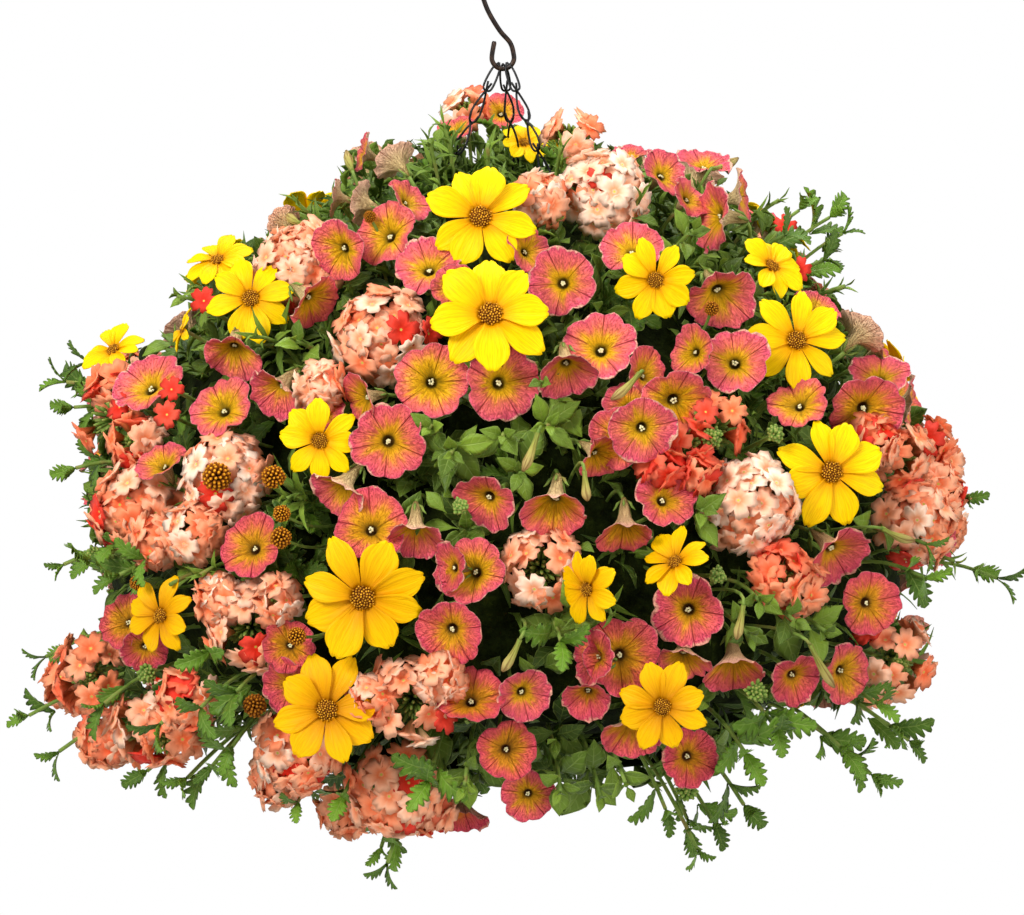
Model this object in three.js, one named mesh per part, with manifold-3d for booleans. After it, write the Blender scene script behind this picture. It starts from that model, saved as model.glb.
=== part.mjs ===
// A petunia hanging basket: a pot hung by three wire-link chains from an S-hook, hidden in a dome of
// petunias, bidens daisies and verbena. Millimetres, +Z up, the front is -Y. The origin is the top of the
// hook's inside, where the hook hangs. Every spray of flowers is one body: its blooms stand on stalks that
// join a stem, and the stem is rooted in a plain hole of the green core, the tangle of stems that fills the
// dome round the pot.

import * as THREE from "three";
import { ConvexHull } from "three/addons/math/ConvexHull.js";
import { mergeVertices } from "three/addons/utils/BufferGeometryUtils.js";
import Module from "manifold-3d";

const wasm = await Module();
wasm.setup();

const { Vector3 } = THREE;
const DEGREE = Math.PI / 180;

// ---------------------------------------------------------------- driving dimensions

const GAP = 0.35; // clearance between neighbouring bodies

const BUSH_RADIUS = 294; // the dome's outer surface, where the blooms lie
const BUSH_WAIST_Z = -381;
const BUSH_RISE = 285;
const BUSH_DROP = 149;
const RISE_POWER = 1.6;
const DROP_POWER = 3;
const CORE_INSET = 45; // the green core lies this far inside the blooms
const CORE_SIDES = 16;
const CORE_ROUGHNESS = 5;
const CORE_HEM_RADIUS = 152;
const CORE_HEM_Z = -486;
const CORE_RECESS_Z = -468;

const POT_RIM_Z = -348;
const POT_HEIGHT = 150;
const POT_RIM_RADIUS = 130;
const POT_BASE_RADIUS = 95;
const POT_WALL = 3;
const RIM_FLANGE = 7;
const RIM_THICKNESS = 3;
const SOIL_BELOW_RIM = 14;

const HOOK_WIRE = 3;
const HOOK_SIDES = 5;
const HOOK_STEPS = 22;
const CROOK_CENTRE = new Vector3(-1.2, 0, -71);
const CROOK_RADIUS = 6.8;

const LINK_WIRE = 2;
const LINK_PITCH = 21;
const LINK_WIDTH = 8;
const TOP_LINK_WIDTH = 10;
const CROOK_CLEARANCE = 0.6; // between the hook's wire and the top link
const RIM_RING_RADIUS = 5;
const RIM_RING_CENTRE = POT_RIM_RADIUS + RIM_FLANGE - 1.5;
const RIM_RING_STEPS = 7;
const RIM_HOLE_RADIUS = 2.2;
const CHANNEL_WIDTH = 13;

// The photograph's pixels: scale at the dome's axis, the axis and origin in it, and how it looks at the dome.
const MM_PER_PIXEL = 0.62;
const AXIS_PIXEL = 505;
const ORIGIN_PIXEL = -55;
const CENTRE_PIXEL = [512, 457.5];
const VIEW_DISTANCE = 2400;
const VIEW_TILT = 8 * DEGREE;

// ---------------------------------------------------------------- flowers seen from the front
// Each flower is [x pixel, y pixel, span in pixels, turn to the right, tip upward, extra lift in mm].
// Turn and tip are in degrees from facing the viewer. Flowers in one list share one spray.

const PETUNIAS = [
  [[393, 160, 46, -130, 35], [360, 152, 40, -80, 20], [358, 202, 44, -110, 15], [412, 198, 48, 60, 35],
    [333, 197, 38, -90, 10]],
  [[383, 232, 65, -35, 20], [336, 250, 60, -40, -15], [427, 262, 66, -10, 42], [318, 305, 58, 55, -35],
    [283, 220, 34, -140, 30]],
  [[232, 363, 62, -10, -66], [219, 405, 65, -25, 30], [272, 397, 62, -45, -42]],
  [[358, 400, 54, -62, -15], [432, 380, 72, 3, 8], [388, 441, 73, 0, 0], [322, 412, 46, -20, 20, -8]],
  [[334, 498, 66, -45, -45], [369, 524, 72, -8, 25], [415, 545, 61, 0, -72]],
  [[504, 383, 76, 20, 0], [484, 503, 63, -28, -28], [471, 570, 66, -50, 15], [447, 568, 50, -50, 0, -6],
    [454, 285, 44, 0, 0, -6]],
  [[449, 634, 66, -15, -20], [471, 694, 67, 0, 38], [525, 696, 54, 20, -20], [508, 751, 57, 10, -5],
    [528, 797, 52, 0, -15], [460, 824, 60, 0, -76]],
  [[561, 281, 66, -10, 8], [531, 249, 51, 40, 20, -6], [600, 345, 72, -5, 22], [568, 378, 64, 8, -48],
    [631, 245, 62, -8, 45, -4]],
  [[667, 171, 52, 40, 28], [631, 151, 40, 0, 65], [705, 158, 54, 20, 70], [708, 216, 70, -70, 0],
    [747, 195, 53, 78, 12], [692, 196, 44, 50, 30, -6]],
  [[724, 303, 73, 22, -42], [735, 358, 68, -3, 22], [650, 372, 54, 50, 20], [690, 350, 50, -60, 12],
    [678, 405, 73, 14, -25]],
  [[645, 430, 66, 5, -20, -4], [617, 438, 60, -20, 0], [603, 460, 52, 50, -35], [629, 405, 52, 0, 20, -8],
    [667, 496, 61, 25, 25], [625, 541, 61, 0, -72], [554, 517, 71, -10, -60]],
  [[686, 612, 71, -12, -8], [624, 657, 76, 15, -5], [590, 656, 56, -50, 5], [684, 668, 58, 0, -58],
    [735, 677, 66, 5, -68], [586, 703, 52, -15, -52]],
  [[630, 742, 64, -20, -66], [691, 758, 58, 18, -5]],
  [[862, 330, 53, 125, 40], [880, 372, 59, 0, 45, -6], [868, 413, 74, 15, -20], [798, 400, 58, -15, 35],
    [915, 406, 58, 80, 0], [818, 303, 50, 40, 55], [884, 347, 42, 75, 30]],
  [[842, 560, 72, 42, -38], [872, 604, 61, 25, -5], [797, 682, 56, 40, -36], [848, 674, 59, 40, -15]],
  [[145, 380, 73, -30, 42], [160, 460, 52, -35, 45], [122, 619, 56, -35, 20], [145, 650, 46, 0, -20, -6]],
  [[249, 545, 65, -25, 20], [288, 646, 52, -10, 0, -6], [287, 688, 58, -25, -8]],
  [[502, 108, 44, 10, 35, -20], [455, 126, 38, -30, 50]],
];

const BIDENS = [
  [[480, 215, 110, 5, 12], [524, 143, 53, 20, 45, -12]],
  [[490, 312, 119, 0, 18]],
  [[656, 279, 82, 0, 0], [772, 266, 74, 40, 60]],
  [[250, 298, 88, -10, 15], [217, 260, 68, -10, 70], [183, 330, 48, -75, 20], [113, 350, 66, -30, 66]],
  [[319, 440, 84, -5, 0]],
  [[362, 597, 122, 0, -8], [326, 711, 107, -5, 5]],
  [[588, 589, 73, -40, -10], [676, 562, 73, -30, 30], [664, 709, 87, -5, 0]],
  [[160, 616, 79, -35, 5]],
  [[797, 340, 98, 10, 8]],
  [[832, 472, 108, 12, 5]],
];

const VERBENA = [
  [[606, 185, 90]],
  [[755, 505, 100], [798, 584, 56]],
  [[290, 263, 86]],
  [[380, 330, 98]],
  [[219, 475, 90], [128, 507, 98]],
  [[103, 412, 88]],
  [[243, 628, 90], [83, 681, 84], [140, 735, 80]],
  [[292, 759, 84], [393, 801, 98]],
  [[410, 703, 90]],
  [[541, 566, 80]],
  [[715, 428, 78]],
  [[905, 455, 66], [925, 522, 86], [901, 662, 84]],
  [[572, 130, 56]],
];

// Tips of the leafy stems that hang or stand out past the blooms, in pixels.
const TRAILING_TIPS = [
  [34, 711], [63, 746], [60, 565], [189, 780], [233, 762], [390, 872], [700, 850], [765, 770], [836, 741],
  [884, 715], [998, 585], [820, 240], [70, 385],
];

// ---------------------------------------------------------------- flowers of the rear half, by rule

const REAR_ROWS = [
  { z: -165, count: 4 }, { z: -220, count: 5 }, { z: -276, count: 6 }, { z: -334, count: 7 },
  { z: -392, count: 7 }, { z: -448, count: 6 }, { z: -496, count: 4 },
];
const REAR_START = 97; // degrees round the axis from the front
const REAR_SWEEP = 166;
const REAR_SWAY = 0.9; // how far a rear flower may face away from its seat's outward direction
const REAR_PETUNIA_SPRAYS = 5;
const REAR_BIDENS_SPRAYS = 3;
const REAR_VERBENA_SPRAYS = 3;
const REAR_PETUNIA_SPAN = 66;
const REAR_BIDENS_SPAN = 100;
const REAR_VERBENA_SPAN = 88;

const LEAF_COUNT = 58;
const LEAF_LEVELS = [-458, -172];
const LEAF_SPACING = [0.754878, 0.56984]; // steps up and round that spread points evenly
const LEAF_SINK = 17; // how deep the leaves are rooted in the core
const LEAF_TRIES = 700;

// ---------------------------------------------------------------- small helpers

// A small repeatable random source, so that every build gives the same plant.
function randomSource(seed) {
  let state = seed;
  return () => {
    state = (state * 16807) % 2147483647;
    return state / 2147483647;
  };
}

function vector(x, y, z) {
  return new Vector3(x, y, z);
}

// A closed solid from points and triangles.
function solidFrom(points, triangles) {
  const vertProperties = new Float32Array(points.length * 3);
  points.forEach((point, index) => vertProperties.set([point.x, point.y, point.z], index * 3));
  const triVerts = new Uint32Array(triangles.flat());
  return new wasm.Manifold(new wasm.Mesh({ numProp: 3, vertProperties, triVerts }));
}

function solidFromGeometry(geometry) {
  geometry.deleteAttribute("normal");
  geometry.deleteAttribute("uv");
  const merged = mergeVertices(geometry, 1e-4);
  const vertProperties = new Float32Array(merged.attributes.position.array);
  const triVerts = new Uint32Array(merged.index.array);
  return new wasm.Manifold(new wasm.Mesh({ numProp: 3, vertProperties, triVerts }));
}

function geometryFrom(solid) {
  const mesh = solid.getMesh();
  const geometry = new THREE.BufferGeometry();
  const position = new Float32Array(mesh.numVert * 3);
  for (let index = 0; index < mesh.numVert; index += 1) {
    for (let axis = 0; axis < 3; axis += 1) {
      position[index * 3 + axis] = mesh.vertProperties[index * mesh.numProp + axis];
    }
  }
  geometry.setAttribute("position", new THREE.BufferAttribute(position, 3));
  geometry.setIndex(new THREE.BufferAttribute(new Uint32Array(mesh.triVerts), 1));
  geometry.computeVertexNormals();
  return geometry;
}

function joined(solids) {
  let layer = [...solids];
  while (layer.length > 1) {
    const next = [];
    for (let index = 0; index < layer.length; index += 2) {
      next.push(index + 1 < layer.length ? layer[index].add(layer[index + 1]) : layer[index]);
    }
    layer = next;
  }
  return layer[0];
}

function boxOf(solid) {
  const box = solid.boundingBox();
  return new THREE.Box3(vector(...box.min), vector(...box.max));
}

// A solid with its box, so that far neighbours are passed over quickly.
function boxed(solid, owner) {
  return { solid, owner, box: boxOf(solid) };
}

function isClear(solid, owner, others) {
  const box = boxOf(solid);
  return others.every((other) => other.owner === owner || !box.intersectsBox(other.box)
    || solid.intersect(other.solid).isEmpty());
}

// Sideways and upright directions of a face that looks along `facing`.
function frameOf(facing) {
  const helper = Math.abs(facing.z) > 0.95 ? vector(0, 1, 0) : vector(0, 0, 1);
  const side = helper.clone().cross(facing).normalize();
  const up = facing.clone().cross(side).normalize();
  return { side, up };
}

// A point given as sideways, upright and forward distances from `centre`.
function localPoint(centre, frame, facing, right, up, forward) {
  return centre.clone().addScaledVector(frame.side, right).addScaledVector(frame.up, up)
    .addScaledVector(facing, forward);
}

// A rod of few sides along a line of points, with a flat side toward `outward` where that is given.
function rod(points, radius, sides = 3, outward = null) {
  const corners = [];
  const triangles = [];
  points.forEach((point, index) => {
    const before = points[Math.max(0, index - 1)];
    const after = points[Math.min(points.length - 1, index + 1)];
    const along = after.clone().sub(before).normalize();
    const side = (outward ? outward(point) : ROD_HELPER.clone()).cross(along).normalize();
    const up = along.clone().cross(side).normalize();
    for (let corner = 0; corner < sides; corner += 1) {
      const angle = ((corner + 0.5) / sides) * 2 * Math.PI + Math.PI / 2;
      const [across, upward] = [Math.cos(angle) * radius, Math.sin(angle) * radius];
      corners.push(localPoint(point, { side, up }, along, across, upward, 0));
    }
  });
  for (let ring = 0; ring + 1 < points.length; ring += 1) {
    for (let corner = 0; corner < sides; corner += 1) {
      const here = ring * sides + corner;
      const next = ring * sides + ((corner + 1) % sides);
      triangles.push([here, next, here + sides], [next, next + sides, here + sides]);
    }
  }
  const last = (points.length - 1) * sides;
  for (let corner = 1; corner + 1 < sides; corner += 1) {
    triangles.push([0, corner + 1, corner], [last, last + corner, last + corner + 1]);
  }
  return solidFrom(corners, triangles);
}

const ROD_HELPER = vector(0.72, 0.61, 0.33);

// ---------------------------------------------------------------- the dome's form and the view of it

function bushShare(point, inset = 0) {
  const rises = point.z > BUSH_WAIST_Z;
  const reach = (rises ? BUSH_RISE : BUSH_DROP) - inset;
  const across = Math.hypot(point.x, point.y) / (BUSH_RADIUS - inset);
  const along = Math.abs(point.z - BUSH_WAIST_Z) / reach;
  return across ** 2 + along ** (rises ? RISE_POWER : DROP_POWER);
}

function bushRadius(z, inset = 0) {
  const share = bushShare(vector(0, 0, z), inset);
  return (BUSH_RADIUS - inset) * Math.sqrt(Math.max(0, 1 - share));
}

function bushNormal(point) {
  const step = 0.5;
  const rate = (offset) => bushShare(point.clone().add(offset)) - bushShare(point.clone().sub(offset));
  return vector(rate(vector(step, 0, 0)), rate(vector(0, step, 0)), rate(vector(0, 0, step))).normalize();
}

// The point of the dome at a height, with the angle measured from the front toward +X.
function bushPoint(angle, z, inset = 0) {
  const radius = bushRadius(z, inset);
  return vector(Math.sin(angle) * radius, -Math.cos(angle) * radius, z);
}

const VIEW = {
  forward: vector(0, Math.cos(VIEW_TILT), -Math.sin(VIEW_TILT)),
  right: vector(1, 0, 0),
  up: vector(0, Math.sin(VIEW_TILT), Math.cos(VIEW_TILT)),
  target: vector(CENTRE_PIXEL[0] - AXIS_PIXEL, 0, ORIGIN_PIXEL - CENTRE_PIXEL[1])
    .multiplyScalar(MM_PER_PIXEL),
};
VIEW.eye = VIEW.target.clone().addScaledVector(VIEW.forward, -VIEW_DISTANCE);

// Where the line of sight through a pixel meets the dome, or passes nearest to it.
function seenPoint(x, y) {
  const through = VIEW.target.clone()
    .addScaledVector(VIEW.right, (x - CENTRE_PIXEL[0]) * MM_PER_PIXEL)
    .addScaledVector(VIEW.up, (CENTRE_PIXEL[1] - y) * MM_PER_PIXEL);
  const direction = through.sub(VIEW.eye).normalize();
  let best = VIEW.eye;
  let bestShare = Infinity;
  for (let reach = VIEW_DISTANCE - BUSH_RADIUS - 40; reach < VIEW_DISTANCE + 120; reach += 1) {
    const point = VIEW.eye.clone().addScaledVector(direction, reach);
    const share = bushShare(point);
    if (share < bestShare) {
      bestShare = share;
      best = point;
    }
    if (share <= 1) break;
  }
  return best;
}

function seenFacing(turn, tip) {
  return VIEW.right.clone().multiplyScalar(Math.sin(turn * DEGREE) * Math.cos(tip * DEGREE))
    .addScaledVector(VIEW.up, Math.sin(tip * DEGREE))
    .addScaledVector(VIEW.forward, -Math.cos(turn * DEGREE) * Math.cos(tip * DEGREE)).normalize();
}

// ---------------------------------------------------------------- flower shapes
// Each flower is one closed skin: from its front pole over its rim to a three-sided stalk behind it, which runs
// on through the points of `stalk` when they are given.

const STALK_SIDES = 3;
const STALK_RADIUS = 1.2;
const STALK_END_RADIUS = 0.75;

// Triangles between two rings of point numbers, the second one lying further back.
function bridge(triangles, front, back) {
  let here = 0;
  let there = 0;
  while (here < front.length || there < back.length) {
    const isFront = there >= back.length
      || (here < front.length && (here + 0.5) / front.length <= (there + 0.5) / back.length);
    const frontNow = front[here % front.length];
    const backNow = back[there % back.length];
    if (isFront) {
      here += 1;
      triangles.push([frontNow, backNow, front[here % front.length]]);
    } else {
      there += 1;
      triangles.push([frontNow, backNow, back[there % back.length]]);
    }
  }
}

// A ring of points round the flower's axis, from [outward, forward] for each point in turn.
function addRing(points, flower, frame, places) {
  return places.map(([outward, forward], index) => {
    const angle = (index / places.length) * 2 * Math.PI + Math.PI / 2;
    return points.push(localPoint(flower.centre, frame, flower.facing, Math.cos(angle) * outward,
      Math.sin(angle) * outward, forward)) - 1;
  });
}

function evenRing(count, outward, forward) {
  return Array.from({ length: count }, () => [outward, forward]);
}

// Runs the three-sided stalk on from its first ring through `stalk` and closes its end. Where the stalk has become
// a stem on the core, one of its flat sides lies outward.
function addStalk(points, triangles, ring, stalk) {
  let last = ring;
  let centre = middleOf(points, ring);
  stalk.forEach(({ place, radius, isStem }, step) => {
    const after = stalk[step + 1] ? stalk[step + 1].place : place;
    const along = place.clone().sub(centre).normalize();
    if (isStem) along.add(after.clone().sub(place).normalize()).normalize();
    let out = flatOn(points[last[0]].clone().sub(centre), along);
    if (isStem) {
      const outward = flatOn(bushNormal(place), along);
      const sides = [60, 180, 300].map((angle) => outward.clone().applyAxisAngle(along, angle * DEGREE));
      sides.sort((a, b) => b.dot(out) - a.dot(out));
      [out] = sides;
    }
    const across = out.clone().cross(along);
    const next = [0, 1, 2].map((corner) => {
      const angle = (corner / STALK_SIDES) * 2 * Math.PI;
      return points.push(place.clone().addScaledVector(out, Math.cos(angle) * radius)
        .addScaledVector(across, Math.sin(angle) * radius)) - 1;
    });
    bridge(triangles, last, next);
    last = next;
    centre = place.clone();
  });
  triangles.push([last[0], last[2], last[1]]);
}

function middleOf(points, ring) {
  return ring.reduce((sum, index) => sum.add(points[index]), vector(0, 0, 0)).divideScalar(ring.length);
}

// A direction laid flat across another one.
function flatOn(direction, along) {
  return direction.clone().addScaledVector(along, -direction.dot(along)).normalize();
}

const PETUNIA_RIM = 10;
const PETUNIA_DEPTH = 1.05; // of the radius, from the face back to the end of the tube
const PETUNIA_THROAT = 0.42;

function petuniaSolid(flower, stalk = []) {
  const { radius } = flower;
  const frame = frameOf(flower.facing);
  const points = [localPoint(flower.centre, frame, flower.facing, 0, 0, -PETUNIA_THROAT * radius)];
  const rim = addRing(points, flower, frame, Array.from({ length: PETUNIA_RIM }, (_, index) => (
    index % 2 === 0 ? [radius, -0.05 * radius] : [0.85 * radius, 0.05 * radius])));
  const neck = addRing(points, flower, frame, evenRing(STALK_SIDES, 0.22 * radius, -0.52 * radius));
  const triangles = rim.map((index, place) => [0, index, rim[(place + 1) % PETUNIA_RIM]]);
  bridge(triangles, rim, neck);
  addStalk(points, triangles, neck, stalk);
  return solidFrom(points, triangles);
}

const BIDENS_PETALS = 8;
// The valley between two petals, then the two corners of a petal's end, as outward and forward.
const BIDENS_PETAL = [[0.36, 0], [0.94, -0.05], [1, -0.07]];

function bidensSolid(flower, stalk = []) {
  const { radius } = flower;
  const frame = frameOf(flower.facing);
  const points = [localPoint(flower.centre, frame, flower.facing, 0, 0, 0.15 * radius)];
  const disc = addRing(points, flower, frame, evenRing(BIDENS_PETALS, 0.2 * radius, 0.08 * radius));
  const places = Array.from({ length: BIDENS_PETALS * BIDENS_PETAL.length }, (_, index) => (
    BIDENS_PETAL[index % BIDENS_PETAL.length].map((share) => share * radius)));
  const rim = addRing(points, flower, frame, places);
  const neck = addRing(points, flower, frame, evenRing(STALK_SIDES, STALK_RADIUS * 1.6, -0.16 * radius));
  const triangles = disc.map((index, place) => [0, index, disc[(place + 1) % BIDENS_PETALS]]);
  bridge(triangles, disc, rim);
  bridge(triangles, rim, neck);
  addStalk(points, triangles, neck, stalk);
  return solidFrom(points, triangles);
}

const FLORET_RING = 5;
const FLORET_LEAN = 52 * DEGREE;
const FLORET_SPREAD = 25 * DEGREE;
const HEAD_DEPTH = 0.55; // of the radius, from the seat back to the middle of the head
const HEAD_LEVELS = { lobe: 1, eye: 0.87, valley: 0.76, hem: 0.7, back: 0.5 };

// A direction leaning away from the facing direction, turned about it.
function leaning(facing, frame, lean, turn) {
  return facing.clone().multiplyScalar(Math.cos(lean))
    .addScaledVector(frame.side, Math.sin(lean) * Math.cos(turn))
    .addScaledVector(frame.up, Math.sin(lean) * Math.sin(turn)).normalize();
}

// A verbena head: a ring of five-lobed florets round a middle one, raised from a ball.
function verbenaSolid(flower, stalk = []) {
  const { facing, radius } = flower;
  const frame = frameOf(facing);
  const heart = localPoint(flower.centre, frame, facing, 0, 0, -HEAD_DEPTH * radius);
  const directions = [];
  const levels = new Map();
  const addDirection = (direction, level) => {
    directions.push(direction);
    levels.set(direction, level);
  };
  for (let index = 0; index <= FLORET_RING; index += 1) {
    const turn = (index / FLORET_RING) * 2 * Math.PI;
    const middle = index === FLORET_RING ? facing.clone() : leaning(facing, frame, FLORET_LEAN, turn);
    const around = frameOf(middle);
    addDirection(middle, HEAD_LEVELS.eye);
    for (let lobe = 0; lobe < 5; lobe += 1) {
      const turn = ((lobe + 0.25) / 5) * 2 * Math.PI;
      addDirection(leaning(middle, around, FLORET_SPREAD, turn), HEAD_LEVELS.lobe);
    }
    if (index === FLORET_RING) continue;
    const between = ((index + 0.5) / FLORET_RING) * 2 * Math.PI;
    addDirection(leaning(facing, frame, FLORET_LEAN * 0.6, between), HEAD_LEVELS.valley);
    addDirection(leaning(facing, frame, FLORET_LEAN * 1.75, between), HEAD_LEVELS.hem);
  }
  const backs = [0, 1, 2].map((corner) => leaning(facing, frame, Math.PI - 0.12, (corner / 3) * 2 * Math.PI));
  backs.forEach((direction) => addDirection(direction, HEAD_LEVELS.back));
  const order = new Map(directions.map((direction, index) => [direction, index]));
  const points = directions.map((direction) => heart.clone()
    .addScaledVector(direction, levels.get(direction) * radius * 0.85));
  const triangles = [];
  let backFace = null;
  for (const face of new ConvexHull().setFromPoints(directions).faces) {
    const edges = [face.edge, face.edge.next, face.edge.next.next];
    const corners = edges.map((edge) => order.get(edge.head().point));
    if (corners.every((corner) => backs.includes(directions[corner]))) backFace = corners;
    else triangles.push(corners);
  }
  addStalk(points, triangles, [backFace[0], backFace[2], backFace[1]], stalk);
  return solidFrom(points, triangles);
}

// ---------------------------------------------------------------- placing the flowers

const KINDS = {
  petunia: { solid: petuniaSolid, lift: 0, stem: 1.9, layer: 5 },
  bidens: { solid: bidensSolid, lift: 8, stem: 1.8, layer: 15 },
  verbena: { solid: verbenaSolid, lift: -6, stem: 1.9, layer: 10 },
};
// Where the stalk begins behind the flower's centre, as a share of its radius.
const STALK_STARTS = { petunia: PETUNIA_DEPTH, bidens: 0.16, verbena: 0.95 };

function frontFlower(kind, [x, y, span, turn, tip, extra = 0]) {
  const seat = seenPoint(x, y);
  const normal = bushNormal(seat);
  const distance = seat.distanceTo(VIEW.eye);
  const radius = (span / 2) * MM_PER_PIXEL * (distance / VIEW_DISTANCE);
  const facing = turn === undefined ? normal.clone() : seenFacing(turn, tip);
  return { kind, seat, normal, facing, radius, lift: KINDS[kind].lift + extra };
}

function rearFlowers() {
  const random = randomSource(20417);
  const flowers = [];
  REAR_ROWS.forEach((row, rowIndex) => {
    for (let index = 0; index < row.count; index += 1) {
      const shift = rowIndex % 2 === 0 ? 0.3 : 0.7;
      const angle = REAR_START + ((index + shift) / row.count) * REAR_SWEEP + (random() - 0.5) * 5;
      const z = row.z + (random() - 0.5) * 18;
      const place = (index * 2 + rowIndex * 3) % 11;
      const kind = place === 4 || place === 9 ? "verbena" : place === 6 ? "bidens" : "petunia";
      const seat = bushPoint(angle * DEGREE, z);
      const normal = bushNormal(seat);
      const span = { petunia: REAR_PETUNIA_SPAN, bidens: REAR_BIDENS_SPAN, verbena: REAR_VERBENA_SPAN }[kind];
      const sway = vector(random() - 0.5, random() - 0.5, random() - 0.5);
      sway.multiplyScalar(kind === "verbena" ? 0 : REAR_SWAY);
      const radius = (span / 2) * MM_PER_PIXEL * (0.85 + random() * 0.2);
      const facing = normal.clone().add(sway).normalize();
      flowers.push({ kind, seat, normal, facing, radius, lift: KINDS[kind].lift, angle });
    }
  });
  return flowers;
}

// The sprays: lists of flowers that share one body.
function allSprays() {
  const sprays = [];
  const rear = rearFlowers();
  const lists = { petunia: PETUNIAS, verbena: VERBENA, bidens: BIDENS };
  const rearCounts = {
    petunia: REAR_PETUNIA_SPRAYS,
    verbena: REAR_VERBENA_SPRAYS,
    bidens: REAR_BIDENS_SPRAYS,
  };
  for (const kind of ["verbena", "petunia", "bidens"]) {
    const groups = lists[kind].map((list) => list.map((entry) => frontFlower(kind, entry)));
    for (let part = 0; part < rearCounts[kind]; part += 1) {
      const width = REAR_SWEEP / rearCounts[kind];
      groups.push(rear.filter((flower) => flower.kind === kind
        && Math.min(rearCounts[kind] - 1, Math.floor((flower.angle - REAR_START) / width)) === part));
    }
    groups.filter((group) => group.length > 0).forEach((flowers, index) => {
      const name = `${kind}_spray_${String(index + 1).padStart(2, "0")}`;
      flowers.forEach((flower) => { flower.owner = name; });
      sprays.push({ name, kind, flowers });
    });
  }
  return sprays;
}

// How deep a point lies in a flower, seen simply: a funnel, a disc or a ball. Above zero is inside.
function depthInside(flower, point, margin) {
  const offset = point.clone().sub(flower.centre);
  const forward = offset.dot(flower.facing);
  const outward = offset.clone().addScaledVector(flower.facing, -forward).length();
  const { radius } = flower;
  if (flower.kind === "verbena") {
    const ball = Math.hypot(outward, forward + 0.55 * radius);
    return radius * 0.93 + margin - ball;
  }
  if (flower.kind === "bidens") {
    return Math.min(radius + margin - outward, 2.5 + margin - Math.abs(forward + 0.04 * radius));
  }
  const inner = -PETUNIA_THROAT * radius * (1 - outward / radius) + margin;
  const outer = -0.62 * radius * (1 - outward / radius) - margin;
  const tube = Math.min(0.2 * radius + margin - outward, forward + PETUNIA_DEPTH * radius + margin, -forward);
  return Math.max(Math.min(inner - forward, forward - outer, radius + margin - outward), tube);
}

// Points on a flower's outline, ribs and tube, used to see whether two flowers cross.
function probePoints(flower) {
  const { centre, facing, radius, kind } = flower;
  const frame = frameOf(facing);
  const rings = {
    petunia: [[1, 0, 12], [0.8, -0.1, 10], [0.6, -0.2, 8], [0.35, -0.36, 6], [0.1, -0.6, 3], [0.02, -0.8, 2],
      [0, -1.02, 1]],
    bidens: [[1, -0.06, 16], [0.75, -0.04, 12], [0.5, -0.03, 8], [0.2, 0.05, 5], [0, -0.1, 1]],
    verbena: [[0.95, -0.35, 12], [0.75, 0, 10], [0.4, 0.3, 6], [0, 0.4, 1], [0.7, -0.9, 8], [0.3, -1.1, 4]],
  }[kind];
  const points = [];
  for (const [outward, forward, count] of rings) {
    for (let index = 0; index < count; index += 1) {
      const angle = (index / count) * 2 * Math.PI;
      points.push(localPoint(centre, frame, facing, Math.cos(angle) * outward * radius,
        Math.sin(angle) * outward * radius, forward * radius));
    }
  }
  return points;
}

const CLEAR_MARGIN = 1.3;
const LIFT_STEP = 2.5;
const LIFT_LIMIT = 16;

function flowersCross(first, second) {
  if (first.centre.distanceTo(second.centre) > (first.radius + second.radius) * 1.3) return false;
  return first.probes.some((point) => depthInside(second, point, CLEAR_MARGIN) > 0)
    || second.probes.some((point) => depthInside(first, point, CLEAR_MARGIN) > 0);
}

// Every flower rises outward, a little at a time, until it is clear of the sprays placed before it.
function settleFlowers(sprays) {
  const placed = [];
  for (const spray of sprays) {
    for (const flower of spray.flowers) {
      for (let step = 0; step <= LIFT_LIMIT; step += 1) {
        flower.centre = flower.seat.clone().addScaledVector(flower.normal, flower.lift + step * LIFT_STEP);
        flower.probes = probePoints(flower);
        flower.raised = step;
        const crossed = placed.some((other) => other.owner !== flower.owner && flowersCross(flower, other));
        if (!crossed) break;
      }
      placed.push(flower);
    }
  }
}

// ---------------------------------------------------------------- stems of the sprays

const DROP_SHIFTS = [[0, 0], [9, 0], [-9, 0], [0, 9], [0, -9], [14, 14], [-14, 14], [14, -14], [-14, -14],
  [22, 0], [-22, 0], [0, 22], [0, -22], [30, 12], [-30, 12], [12, -30], [-12, -30]];
const EDGE_BENDS = [0, 14, -14, 26, -26, 40, -40];
const EDGE_STEP = 75;
const ROOT_DEPTH = 14;
const STRAIGHT_ENOUGH = 0.8; // of a stalk's run along its flower's axis, past which it needs no knee

// The nearest point of the core's surface under a point, raised by `height`, with its outward direction.
function corePoint(point, height) {
  let low = 0;
  let high = 1.6;
  const waist = vector(0, 0, BUSH_WAIST_Z);
  const ray = point.clone().sub(waist);
  for (let step = 0; step < 40; step += 1) {
    const middle = (low + high) / 2;
    if (bushShare(waist.clone().addScaledVector(ray, middle), CORE_INSET - height) < 1) low = middle;
    else high = middle;
  }
  return waist.addScaledVector(ray, low);
}

function stalkTo(flower, shift, layer) {
  const behind = STALK_STARTS[flower.kind] * flower.radius;
  const start = flower.centre.clone().addScaledVector(flower.facing, -behind);
  const frame = frameOf(flower.normal);
  const under = start.clone().addScaledVector(frame.side, shift[0]).addScaledVector(frame.up, shift[1]);
  const foot = corePoint(under, layer);
  const down = foot.clone().sub(start).normalize();
  if (down.dot(flower.facing) < -STRAIGHT_ENOUGH) return { start, foot, knee: null };
  const knee = start.clone().lerp(foot, 0.4).addScaledVector(flower.facing, -0.25 * flower.radius);
  return { start, foot, knee };
}

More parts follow.
